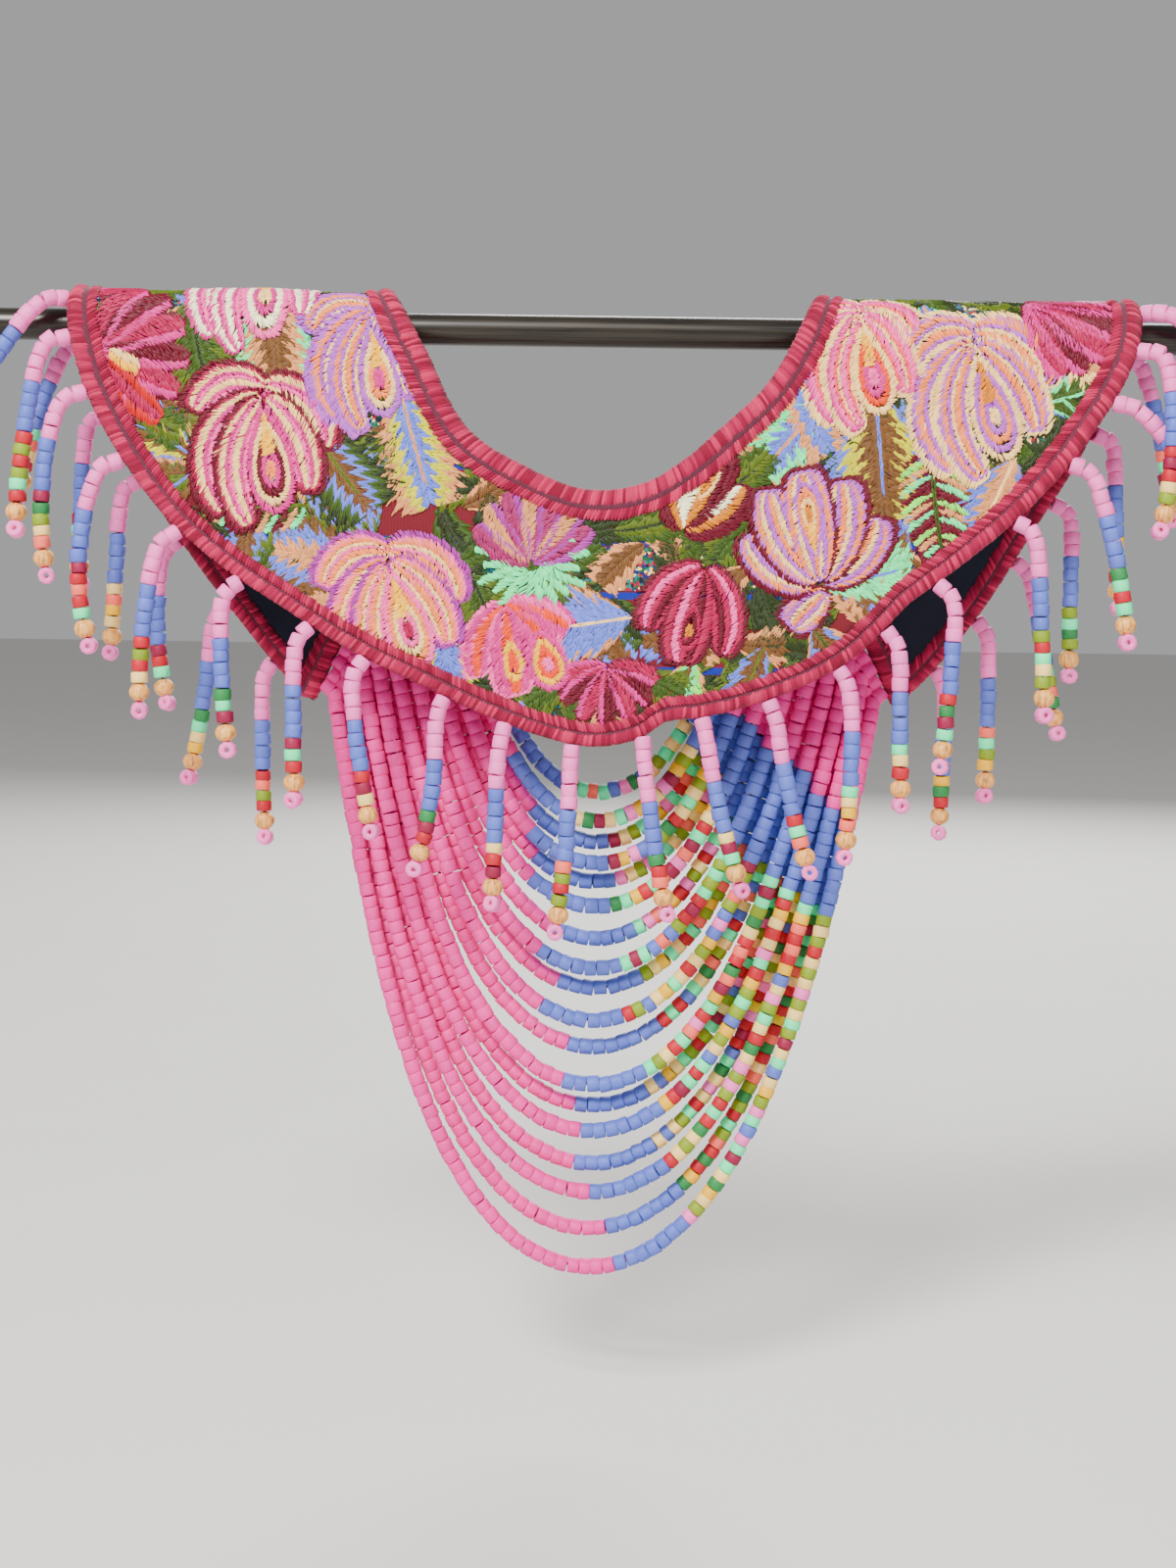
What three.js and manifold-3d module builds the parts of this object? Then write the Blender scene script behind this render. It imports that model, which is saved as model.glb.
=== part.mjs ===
// Beaded shoulder cape folded over a rod.
// A C-shaped embroidered yoke with a navy lining and a yarn-wound edge band. Bead strands hang
// from its hem, and a swag of bead strands joins its two ends.
// Millimetres, +Z up. The rod runs along X and the origin is on its axis, midway along the yoke.
// The closed half of the C hangs in front of the rod (-Y) and its two arms hang behind it (+Y).
import * as THREE from 'three';
import { mergeVertices } from 'three/addons/utils/BufferGeometryUtils.js';
import Module from 'manifold-3d';

const wasm = await Module();
wasm.setup();

// ---------- driving dimensions ----------
const seam = 0.3; // between pieces that are sewn together

const rod = { radius: 6, length: 520, sides: 24, clearance: 0.45 };

const cloth = { inner: -0.2, outer: 2.0 }; // offsets from the middle surface, outwards positive
const lining = { inner: -1.5, outer: -0.5 };

const band = {
  neckWidth: 10,
  hemWidth: 7.4,
  shoulderWidth: 10.2, // the hem band is widest where it crosses the rod
  shoulderAngle: 85,
  shoulderSpread: 25,
  endWidth: 8.5,
  thickPerWidth: 0.82,
  sides: 8,
};

// The cloth's middle surface: a half round over the rod, with straight legs below it.
const fold = { radius: 15, frontTilt: 1.5, backTilt: 3 };
fold.top = rod.radius + rod.clearance + 0.5 * band.thickPerWidth * band.shoulderWidth;
fold.centreZ = fold.top - fold.radius;

// Soft waves of the hanging cloth, across the legs.
const wave = { height: 2.4, length: 150, shift: 20, startsAt: 20, fullAt: 120 };

// The cut is a ring about a point just below the fold line. Angles run from the middle of the front.
const ringCentre = 4.5;
const hemCut = [
  { angle: -143, radius: 203 },
  { angle: -132, radius: 198 },
  { angle: -120, radius: 198 },
  { angle: -105, radius: 203 },
  { angle: -90, radius: 205 },
  { angle: -80, radius: 202 },
  { angle: -71, radius: 195.5 },
  { angle: -62, radius: 188 },
  { angle: -53, radius: 179 },
  { angle: -45, radius: 172 },
  { angle: -36, radius: 168 },
  { angle: -25, radius: 165.5 },
  { angle: -14, radius: 168 },
  { angle: -2, radius: 172.5 },
  { angle: 4, radius: 170 },
  { angle: 8, radius: 164.5 },
  { angle: 13, radius: 165 },
  { angle: 22, radius: 166 },
  { angle: 33, radius: 167 },
  { angle: 40, radius: 165 },
  { angle: 45, radius: 164 },
  { angle: 54, radius: 169.5 },
  { angle: 62, radius: 177 },
  { angle: 73, radius: 188.5 },
  { angle: 83, radius: 199 },
  { angle: 90, radius: 201 },
  { angle: 105, radius: 199 },
  { angle: 120, radius: 194 },
  { angle: 132, radius: 197 },
  { angle: 143, radius: 202 },
];
const neckCut = [
  { angle: -143, radius: 99 },
  { angle: -115, radius: 88 },
  { angle: -90, radius: 81 },
  { angle: -78, radius: 75.5 },
  { angle: -66, radius: 72.5 },
  { angle: -44, radius: 75 },
  { angle: -24, radius: 74 },
  { angle: -5, radius: 76 },
  { angle: 12, radius: 74 },
  { angle: 25, radius: 70 },
  { angle: 41, radius: 67 },
  { angle: 58, radius: 69 },
  { angle: 75, radius: 72 },
  { angle: 90, radius: 77 },
  { angle: 115, radius: 86 },
  { angle: 143, radius: 98 },
];
// The arms' ends are cut askew: the neck side of each ends this much sooner than the hem side.
const endCut = { angle: 143, skew: 7, skewStarts: 110, neckRadius: 98, hemRadius: 202 };

// Stations along the ring, close together where the cloth bends over the rod.
const stations = [
  { from: -143, to: -113, steps: 8 },
  { from: -113, to: -102, steps: 4 },
  { from: -102, to: -80, steps: 18 },
  { from: -80, to: -72, steps: 3 },
  { from: -72, to: 72, steps: 36 },
  { from: 72, to: 80, steps: 3 },
  { from: 80, to: 102, steps: 18 },
  { from: 102, to: 113, steps: 4 },
  { from: 113, to: 143, steps: 8 },
];
const rowsAcross = 3;

// The strip sewn along the band, which carries the bead strands.
const strip = { width: 1.8, thick: 1.8 };

// A fringe strand leaves the hem square to it and then hangs. Headings are in degrees from
// straight down, positive towards +X. Out is how far it stands away from the cloth.
const strand = { halfWidth: 2.5, rootHalf: 0.6, neckLength: 4, turnLength: 3.5, outLength: 14 };
const strandShares = [0, 0.06, 0.13, 0.28, 0.5, 0.75, 1]; // of the length, where its sections lie
const frontStrands = [
  { angle: -89, heading: -40, tip: -22, out: 9, length: 72 },
  { angle: -84, heading: -14, tip: -3, out: 5, length: 78 },
  { angle: -78, heading: -21, tip: 10, out: 4, length: 76 },
  { angle: -70, heading: -24, tip: 14, out: 3, length: 74 },
  { angle: -60, heading: -14, tip: 1, out: 3, length: 71 },
  { angle: -51, heading: -2, tip: 7, out: 2, length: 68 },
  { angle: -41, heading: 0, tip: 1, out: 3, length: 69 },
  { angle: -33, heading: 4, tip: 11, out: 2, length: 66 },
  { angle: -21.5, heading: 6, tip: -18, out: 3, length: 66 },
  { angle: -13, heading: -2, tip: -1, out: 4, length: 63 },
  { angle: -4, heading: 0, tip: -8, out: 2, length: 72 },
  { angle: 5, heading: 5, tip: 12, out: 3, length: 62 },
  { angle: 13, heading: 7, tip: 19, out: 3, length: 63 },
  { angle: 22, heading: 7, tip: 18, out: 2, length: 66 },
  { angle: 32, heading: 5, tip: -6, out: 3, length: 70 },
  { angle: 40, heading: 0, tip: 2, out: 2, length: 69 },
  { angle: 49, heading: -2, tip: -6, out: 3, length: 70 },
  { angle: 61, heading: 4, tip: 3, out: 2, length: 75 },
  { angle: 70, heading: 20, tip: 6, out: 3, length: 73 },
  { angle: 78, heading: 46, tip: 26, out: 4, length: 72 },
  { angle: 84, heading: 12, tip: -13, out: 9, length: 76 },
  { angle: 89, heading: 60, tip: 34, out: 12, length: 70 },
];
const leftStrands = [
  { angle: -98, heading: -30, tip: -8, out: 4, length: 70 },
  { angle: -106, heading: -8, tip: 2, out: 3, length: 72 },
  { angle: -114, heading: -3, tip: -4, out: 2, length: 70 },
  { angle: -122, heading: -12, tip: 14, out: 3, length: 68 },
  { angle: -131, heading: -4, tip: -12, out: 2, length: 70 },
  { angle: -139, heading: 0, tip: 2, out: 3, length: 70 },
];
const rightStrands = [
  { angle: 98, heading: 22, tip: 6, out: 4, length: 70 },
  { angle: 107, heading: 2, tip: 4, out: 3, length: 72 },
  { angle: 116, heading: 0, tip: 1, out: 2, length: 72 },
  { angle: 124, heading: 10, tip: 12, out: 3, length: 70 },
  { angle: 132, heading: 2, tip: -2, out: 2, length: 70 },
  { angle: 139, heading: 1, tip: -3, out: 3, length: 68 },
];
const fringes = {
  front_fringe: { from: -93, to: 93, strands: frontStrands },
  left_fringe: { from: -143, to: -94, strands: leftStrands },
  right_fringe: { from: 94, to: 143, strands: rightStrands },
};

// The swag: strands hang as catenaries from one arm's end to the other's, the lowest outermost.
const swag = {
  outerRoot: 195, innerRoot: 105, // ring radii of the first and last root on an end
  lead: 5, // bare thread between the strip and the first bead
  halfWidth: 2.3, layerHalf: 3.5, layerLength: 16, steps: 20, crowding: 1.4,
  lean: -0.014, // sideways for each millimetre down
};
const swagLows = [-370, -356, -339, -329, -314, -305, -295, -281, -269, -257, -248, -237, -223, -214, -206,
  -198, -189, -178];
const halving = { rounds: 60, from: 1, toSpans: 10 }; // the search for a catenary's size

// ---------- sizes worked out from the tables ----------
const radians = THREE.MathUtils.degToRad;
const smooth = THREE.MathUtils.smoothstep;

function slopeAt(table, i) {
  const before = table[Math.max(i - 1, 0)];
  const after = table[Math.min(i + 1, table.length - 1)];
  return (after.radius - before.radius) / (after.angle - before.angle);
}

// The radius at any angle, on a smooth curve through the table's rows.
function radiusAt(table, angle) {
  let i = 0;
  while (i < table.length - 2 && angle > table[i + 1].angle) i += 1;
  const a = table[i];
  const b = table[i + 1];
  const span = b.angle - a.angle;
  const t = (angle - a.angle) / span;
  const t2 = t * t;
  const t3 = t2 * t;
  return (2 * t3 - 3 * t2 + 1) * a.radius + (t3 - 2 * t2 + t) * span * slopeAt(table, i)
    + (3 * t2 - 2 * t3) * b.radius + (t3 - t2) * span * slopeAt(table, i + 1);
}

function hemBandWidth(angle) {
  const away = (Math.abs(angle) - band.shoulderAngle) / band.shoulderSpread;
  return band.hemWidth + (band.shoulderWidth - band.hemWidth) * Math.exp(-away * away);
}

function stationAngles() {
  const angles = [stations[0].from];
  for (const { from, to, steps } of stations) {
    for (let i = 1; i <= steps; i += 1) angles.push(from + ((to - from) * i) / steps);
  }
  return angles;
}

// A point of the flat cut: u runs along the rod, v down the front (positive) or back (negative).
function cutPoint(angle, radius) {
  const askew = endCut.skew * smooth(Math.abs(angle), endCut.skewStarts, endCut.angle)
    * (endCut.hemRadius - radius) / (endCut.hemRadius - endCut.neckRadius);
  const turned = radians(angle - Math.sign(angle) * askew);
  return new THREE.Vector2(radius * Math.sin(turned), ringCentre + radius * Math.cos(turned));
}

// The flat cut laid over the rod, moved out by the offset.
function onCloth(flat, offset) {
  const behind = flat.y < 0;
  const along = Math.abs(flat.y);
  const fullTurn = Math.PI / 2 - radians(behind ? fold.backTilt : fold.frontTilt);
  const turn = Math.min(along / fold.radius, fullTurn);
  const leg = along - turn * fold.radius;
  const reach = fold.radius + offset;
  const ripple = wave.height * smooth(leg, wave.startsAt, wave.fullAt)
    * Math.sin((2 * Math.PI * (flat.x + wave.shift)) / wave.length);
  const out = reach * Math.sin(turn) + leg * Math.cos(turn) + ripple;
  const up = fold.centreZ + reach * Math.cos(turn) - leg * Math.sin(turn);
  return new THREE.Vector3(flat.x, behind ? out : -out, up);
}

function onRing(angle, radius, offset) {
  return onCloth(cutPoint(angle, radius), offset);
}

// ---------- shapes ----------
// A closed solid through sections with the same number of points, with a flat cap at each end.
// Both halves of a section split their faces alike, so that layers that bend together stay apart.
function loft(sections) {
  const count = sections[0].length;
  const positions = sections.flat().flatMap((point) => point.toArray());
  const index = [];
  for (let s = 0; s < sections.length - 1; s += 1) {
    for (let j = 0; j < count; j += 1) {
      const next = (j + 1) % count;
      const a = s * count + j;
      const b = s * count + next;
      if (j < count / 2) index.push(a, b, b + count, a, b + count, a + count);
      else index.push(a, b, a + count, b, b + count, a + count);
    }
  }
  const last = (sections.length - 1) * count;
  for (let j = 0; j < count / 2 - 1; j += 1) {
    const far = count - 1 - j;
    index.push(j, far, j + 1, far, far - 1, j + 1);
    index.push(last + j, last + j + 1, last + far, last + far, last + j + 1, last + far - 1);
  }
  const geometry = new THREE.BufferGeometry();
  geometry.setAttribute('position', new THREE.Float32BufferAttribute(positions, 3));
  geometry.setIndex(index);
  return facingOut(geometry);
}

// Turns a closed surface right side out.
function facingOut(geometry) {
  const position = geometry.getAttribute('position');
  const index = geometry.getIndex();
  const corner = [new THREE.Vector3(), new THREE.Vector3(), new THREE.Vector3()];
  let volume = 0;
  for (let i = 0; i < index.count; i += 3) {
    corner.forEach((c, k) => c.fromBufferAttribute(position, index.getX(i + k)));
    volume += corner[0].dot(corner[1].cross(corner[2]));
  }
  if (volume < 0) index.array.reverse();
  geometry.computeVertexNormals();
  return geometry;
}

function toManifold(geometry) {
  const merged = mergeVertices(geometry.clone().deleteAttribute('normal'));
  return new wasm.Manifold(new wasm.Mesh({
    numProp: 3,
    vertProperties: new Float32Array(merged.getAttribute('position').array),
    triVerts: new Uint32Array(merged.getIndex().array),
  }));
}

function joined(geometries) {
  const whole = geometries.map(toManifold).reduce((sum, next) => sum.add(next));
  const mesh = whole.getMesh();
  const geometry = new THREE.BufferGeometry();
  geometry.setAttribute('position', new THREE.Float32BufferAttribute(mesh.vertProperties, 3));
  geometry.setIndex(new THREE.Uint32BufferAttribute(mesh.triVerts, 1));
  geometry.computeVertexNormals();
  return geometry;
}

// The radii of the yoke's rows at one angle, between the bands.
function rowRadii(angle) {
  const near = radiusAt(neckCut, angle) + band.neckWidth + seam;
  const far = radiusAt(hemCut, angle) - hemBandWidth(angle) - seam;
  return Array.from({ length: rowsAcross + 1 }, (_, i) => near + ((far - near) * i) / rowsAcross);
}

// One layer of the yoke as a wall between two offsets.
function layer({ inner, outer }) {
  return loft(stationAngles().map((angle) => {
    const face = rowRadii(angle).map((radius) => onRing(angle, radius, outer));
    const back = rowRadii(angle).map((radius) => onRing(angle, radius, inner)).reverse();
    return [...face, ...back];
  }));
}

// The band's section: a flattened roll, as pairs of place across its width and offset.
function bandSection(width) {
  const spread = 1 / Math.cos(Math.PI / band.sides);
  const pairs = [];
  for (let j = 0; j < band.sides; j += 1) {
    const turn = (2 * Math.PI * (j + 0.5)) / band.sides;
    pairs.push({
      across: 0.5 * width * (1 + spread * Math.cos(turn)),
      offset: 0.5 * width * band.thickPerWidth * spread * Math.sin(turn),
    });
  }
  return pairs;
}

function ringBand(startRadius, widthOf) {
  return loft(stationAngles().map((angle) => bandSection(widthOf(angle))
    .map(({ across, offset }) => onRing(angle, startRadius(angle) + across, offset))));
}

function neckBand() {
  return ringBand((angle) => radiusAt(neckCut, angle), () => band.neckWidth);
}

function hemBand() {
  return ringBand((angle) => radiusAt(hemCut, angle) - hemBandWidth(angle), hemBandWidth);
}

// A point past the cut end of an arm: side is -1 for the left arm and 1 for the right.
function pastEnd(side, radius, beyond, offset) {
  const base = cutPoint(side * endCut.angle, radius);
  const middle = radians(side * endCut.angle);
  const outward = new THREE.Vector2(side * Math.cos(middle), -side * Math.sin(middle));
  return onCloth(base.addScaledVector(outward, beyond), offset);
}

// The radii along an arm's end, from the neck band's free edge to the hem band's.
function endRadii(side) {
  const angle = side * endCut.angle;
  return [radiusAt(neckCut, angle), ...rowRadii(angle), radiusAt(hemCut, angle)];
}

function endBand(side) {
  return loft(endRadii(side).map((radius) => bandSection(band.endWidth)
    .map(({ across, offset }) => pastEnd(side, radius, seam + across, offset))));
}

function stripCorners() {
  const half = strip.thick / 2;
  return [[0, -half], [strip.width, -half], [strip.width, half], [0, half]];
}

function hemStrip(from, to) {
  const angles = stationAngles().filter((angle) => angle > from && angle < to);
  return loft([from, ...angles, to].map((angle) => stripCorners()
    .map(([across, offset]) => onRing(angle, radiusAt(hemCut, angle) + seam + across, offset))));
}

function endStrip(side) {
  const start = band.endWidth + 2 * seam;
  return loft(endRadii(side).map((radius) => stripCorners()
    .map(([across, offset]) => pastEnd(side, radius, start + across, offset))));
}

// A square bar along a path that keeps near a plane of constant Y.
function bar(path, halfOf) {
  const depth = new THREE.Vector3(0, 1, 0);
  const sections = path.map((point, i) => {
    const tangent = new THREE.Vector3()
      .subVectors(path[Math.min(i + 1, path.length - 1)], path[Math.max(i - 1, 0)]).normalize();
    const across = new THREE.Vector3().crossVectors(tangent, depth).normalize();
    const half = halfOf(i);
    return [[1, 1], [-1, 1], [-1, -1], [1, -1]].map(([a, d]) => point.clone()
      .addScaledVector(across, a * half).addScaledVector(depth, d * half));
  });
  return loft(sections);
}

// One fringe strand, walked down from its root in short steps.
function fringeStrand({ angle, heading, tip, out, length }) {
  const rootRadius = radiusAt(hemCut, angle) + seam + strip.width / 2;
  const root = onRing(angle, rootRadius, 0);
  const leaving = onRing(angle, rootRadius + 1, 0).sub(root);
  const leavingHeading = THREE.MathUtils.radToDeg(Math.atan2(leaving.x, -leaving.z));
  const away = Math.abs(angle) > 90 ? 1 : -1;
  const place = root.clone();
  const path = [];
  const stops = strandShares.map((share) => Math.round(share * length));
  for (let s = 0; s <= length; s += 1) {
    const hang = heading + ((tip - heading) * s) / length;
    const settle = 1 - Math.exp(-Math.max(s - strand.neckLength, 0) / strand.turnLength);
    const turned = radians(leavingHeading + (hang - leavingHeading) * settle);
    if (stops.includes(s)) {
      const depth = away * out * (1 - Math.exp(-s / strand.outLength));
      path.push(place.clone().setY(root.y + depth));
    }
    place.x += Math.sin(turned);
    place.z -= Math.cos(turned);
  }
  return bar(path, (i) => (i === 0 ? strand.rootHalf : strand.halfWidth));
}

function fringe({ from, to, strands }) {
  return joined([hemStrip(from, to), ...strands.map(fringeStrand)]);
}

// The catenary through two points with a given lowest height, found by halving.
function catenary(left, right, low) {
  const span = right.x - left.x;
  const halfSpan = (size, height) => size * Math.acosh(1 + (height - low) / size);
  let small = halving.from;
  let large = halving.toSpans * span;
  for (let i = 0; i < halving.rounds; i += 1) {
    const size = (small + large) / 2;
    if (halfSpan(size, left.z) + halfSpan(size, right.z) < span) small = size;
    else large = size;
  }
  return { size: small, lowX: left.x + halfSpan(small, left.z) };
}

function swagStrand(i) {
  const share = i / (swagLows.length - 1);
  const radius = swag.outerRoot + (swag.innerRoot - swag.outerRoot) * share;
  const stripMiddle = band.endWidth + 2 * seam + strip.width / 2;
  const [left, right] = [-1, 1].map((side) => ({
    root: pastEnd(side, radius, stripMiddle, 0),
    first: pastEnd(side, radius, stripMiddle + swag.lead, 0),
  }));
  const { size, lowX } = catenary(left.first, right.first, swagLows[i]);
  const arc = (point) => size * Math.sinh((point.x - lowX) / size);
  const [start, end] = [arc(left.first), arc(right.first)];
  const layerShift = i % 2 ? swag.layerHalf : -swag.layerHalf;
  const path = [left.root];
  for (let k = 0; k <= swag.steps; k += 1) {
    const q = (2 * k) / swag.steps - 1;
    const s = (q < 0 ? -start : end) * Math.sign(q) * Math.abs(q) ** swag.crowding;
    const reach = Math.min(s - start, end - s);
    const x = lowX + size * Math.asinh(s / size);
    const t = (x - left.first.x) / (right.first.x - left.first.x);
    const y = left.first.y + (right.first.y - left.first.y) * t
      + layerShift * smooth(reach, -swag.lead, swag.layerLength);
    const z = swagLows[i] + size * (Math.cosh((x - lowX) / size) - 1);
    path.push(new THREE.Vector3(x + swag.lean * (left.first.z - z), y, z));
  }
  path.push(right.root);
  return bar(path, (k) => (k === 0 || k === path.length - 1 ? strand.rootHalf : swag.halfWidth));
}

function beadSwag() {
  return joined([endStrip(-1), endStrip(1), ...swagLows.map((_, i) => swagStrand(i))]);
}

function rodBar() {
  return new THREE.CylinderGeometry(rod.radius, rod.radius, rod.length, rod.sides);
}

// ---------- the model ----------
const group = new THREE.Group();

function add(name, geometry, color, roughness, metalness = 0) {
  const mesh = new THREE.Mesh(geometry, new THREE.MeshStandardMaterial({ color, roughness, metalness }));
  mesh.name = name;
  group.add(mesh);
  return mesh;
}

const raspberry = 0xb03a5b;
const navy = 0x0e1730;
const beadPink = 0xe58fb8;

add('rod', rodBar(), 0x17110f, 0.35, 0.8).rotation.z = Math.PI / 2;
add('yoke_cloth', layer(cloth), 0x8c3048, 0.75);
add('yoke_lining', layer(lining), navy, 0.85);
add('neck_band', neckBand(), raspberry, 0.8);
add('hem_band', hemBand(), raspberry, 0.8);
add('left_end_band', endBand(-1), raspberry, 0.8);
add('right_end_band', endBand(1), raspberry, 0.8);
for (const [name, arc] of Object.entries(fringes)) add(name, fringe(arc), beadPink, 0.6);
add('bead_swag', beadSwag(), beadPink, 0.6);

export default group;
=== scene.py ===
import math
import random

import bpy
import numpy as np
from mathutils import Matrix


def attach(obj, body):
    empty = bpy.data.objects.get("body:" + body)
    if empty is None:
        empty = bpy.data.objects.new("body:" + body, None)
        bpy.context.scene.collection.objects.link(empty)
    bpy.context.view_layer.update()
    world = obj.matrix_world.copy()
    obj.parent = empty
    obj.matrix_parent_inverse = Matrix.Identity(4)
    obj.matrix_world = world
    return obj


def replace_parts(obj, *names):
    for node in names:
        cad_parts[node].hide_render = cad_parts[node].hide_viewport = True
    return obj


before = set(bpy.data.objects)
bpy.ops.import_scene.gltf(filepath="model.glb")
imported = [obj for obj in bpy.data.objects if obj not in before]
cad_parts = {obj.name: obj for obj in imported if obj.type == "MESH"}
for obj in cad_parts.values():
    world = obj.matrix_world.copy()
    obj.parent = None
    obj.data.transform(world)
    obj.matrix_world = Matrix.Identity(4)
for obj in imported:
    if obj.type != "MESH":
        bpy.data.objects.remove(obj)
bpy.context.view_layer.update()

# Beaded shoulder cape folded over a rod. All tables are in millimetres and the scene is in metres.
metre = 0.001

# The cut and the way it lies over the rod, as in the part's source
cut = {
    "ringCentre": 4.5,
    "endAngle": 143.0, "skew": 7.0, "skewStarts": 110.0, "neckRadius": 98.0, "hemRadius": 202.0,
    "hem": [(-143, 203), (-132, 198), (-120, 198), (-105, 203), (-90, 205), (-80, 202), (-71, 195.5),
            (-62, 188), (-53, 179), (-45, 172), (-36, 168), (-25, 165.5), (-14, 168), (-2, 172.5),
            (4, 170), (8, 164.5), (13, 165), (22, 166), (33, 167), (40, 165), (45, 164), (54, 169.5),
            (62, 177), (73, 188.5), (83, 199), (90, 201), (105, 199), (120, 194), (132, 197), (143, 202)],
    "neck": [(-143, 99), (-115, 88), (-90, 81), (-78, 75.5), (-66, 72.5), (-44, 75), (-24, 74), (-5, 76),
             (12, 74), (25, 70), (41, 67), (58, 69), (75, 72), (90, 77), (115, 86), (143, 98)],
}
fold = {"radius": 15.0, "top": 10.632, "frontTilt": 1.5, "backTilt": 3.0,
        "waveHeight": 2.4, "waveLength": 150.0, "waveShift": 20.0, "waveStarts": 20.0, "waveFull": 120.0}
band = {"neckWidth": 10.0, "hemWidth": 7.4, "shoulderWidth": 10.2, "shoulderAngle": 85.0,
        "shoulderSpread": 25.0, "endWidth": 8.5, "thickPerWidth": 0.82, "seam": 0.3, "strip": 1.8}


def smoothStep(x, low, high):
    t = np.clip((x - low) / (high - low), 0, 1)
    return t * t * (3 - 2 * t)


def radiusAt(table, angle):  # a smooth curve through the table's rows
    angles = np.array([row[0] for row in table], float)
    radii = np.array([row[1] for row in table], float)
    slopes = np.empty_like(radii)
    slopes[1:-1] = (radii[2:] - radii[:-2]) / (angles[2:] - angles[:-2])
    slopes[0] = (radii[1] - radii[0]) / (angles[1] - angles[0])
    slopes[-1] = (radii[-1] - radii[-2]) / (angles[-1] - angles[-2])
    angle = np.asarray(angle, float)
    i = np.clip(np.searchsorted(angles, angle) - 1, 0, len(angles) - 2)
    span = angles[i + 1] - angles[i]
    t = (angle - angles[i]) / span
    return ((2 * t**3 - 3 * t**2 + 1) * radii[i] + (t**3 - 2 * t**2 + t) * span * slopes[i]
            + (3 * t**2 - 2 * t**3) * radii[i + 1] + (t**3 - t**2) * span * slopes[i + 1])


def hemBandWidth(angle):
    away = (np.abs(angle) - band["shoulderAngle"]) / band["shoulderSpread"]
    return band["hemWidth"] + (band["shoulderWidth"] - band["hemWidth"]) * np.exp(-away * away)


def askewAt(angle, radius):  # degrees by which the arms are set askew near their ends
    return (cut["skew"] * smoothStep(np.abs(angle), cut["skewStarts"], cut["endAngle"])
            * (cut["hemRadius"] - radius) / (cut["hemRadius"] - cut["neckRadius"]))


def cutPoint(angle, radius):  # flat u and v at a ring angle and radius
    turned = np.radians(angle - np.sign(angle) * askewAt(angle, radius))
    return radius * np.sin(turned), cut["ringCentre"] + radius * np.cos(turned)


def onCloth(u, v, offset):  # the flat cut laid over the rod and moved out by the offset
    u, v, offset = np.broadcast_arrays(np.asarray(u, float), np.asarray(v, float), np.asarray(offset, float))
    behind = v < 0
    along = np.abs(v)
    fullTurn = np.pi / 2 - np.radians(np.where(behind, fold["backTilt"], fold["frontTilt"]))
    turn = np.minimum(along / fold["radius"], fullTurn)
    leg = along - turn * fold["radius"]
    reach = fold["radius"] + offset
    ripple = (fold["waveHeight"] * smoothStep(leg, fold["waveStarts"], fold["waveFull"])
              * np.sin(2 * np.pi * (u + fold["waveShift"]) / fold["waveLength"]))
    out = reach * np.sin(turn) + leg * np.cos(turn) + ripple
    up = fold["top"] - fold["radius"] + reach * np.cos(turn) - leg * np.sin(turn)
    return np.stack([u, np.where(behind, out, -out), up], axis=-1)


def onRing(angle, radius, offset):
    u, v = cutPoint(np.asarray(angle, float), np.asarray(radius, float))
    return onCloth(u, v, offset)


def pastEnd(side, radius, beyond, offset):  # a point past the cut end of an arm
    u, v = cutPoint(side * cut["endAngle"], np.asarray(radius, float))
    middle = math.radians(side * cut["endAngle"])
    return onCloth(u + side * math.cos(middle) * beyond, v - side * math.sin(middle) * beyond, offset)


def unit(vectors):
    return vectors / np.maximum(np.linalg.norm(vectors, axis=-1, keepdims=True), 1e-9)


# Small helpers for meshes, materials and node trees
def hexToLinear(code):
    parts = [int(code[i:i + 2], 16) / 255 for i in (1, 3, 5)]
    return tuple(c / 12.92 if c <= 0.04045 else ((c + 0.055) / 1.055) ** 2.4 for c in parts) + (1.0,)


def addNode(tree, kind, settings=None, inputs=None):
    node = tree.nodes.new(kind)
    for key, value in (settings or {}).items():
        setattr(node, key, value)
    for key, value in (inputs or {}).items():
        if isinstance(value, bpy.types.NodeSocket):
            tree.links.new(value, node.inputs[key])
        else:
            node.inputs[key].default_value = value
    return node


def setStops(ramp, stops):
    elements = ramp.color_ramp.elements
    while len(elements) < len(stops):
        elements.new(0.5)
    for element, (place, code) in zip(elements, stops):
        element.position = place
        element.color = hexToLinear(code)
    return ramp


def newMaterial(name, roughness, **values):
    material = bpy.data.materials.new(name)
    material.use_nodes = True
    shader = material.node_tree.nodes["Principled BSDF"]
    shader.inputs["Roughness"].default_value = roughness
    for key, value in values.items():
        shader.inputs[key.replace("_", " ")].default_value = value
    return material, material.node_tree, shader


def colourBy(tree, shader, value, stops):  # the base colour follows a value through a ramp
    ramp = setStops(addNode(tree, "ShaderNodeValToRGB", inputs={"Fac": value}), stops)
    tree.links.new(ramp.outputs["Color"], shader.inputs["Base Color"])


def mottled(name, roughness, scale, stops, **values):  # a plain material with a slightly uneven colour
    material, tree, shader = newMaterial(name, roughness, **values)
    noise = addNode(tree, "ShaderNodeTexNoise", inputs={"Vector": metres(tree), "Scale": scale})
    colourBy(tree, shader, noise.outputs["Fac"], stops)
    return material


def toScene(name, mesh):
    made = bpy.data.objects.new(name, mesh)
    bpy.context.scene.collection.objects.link(made)
    return made


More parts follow.
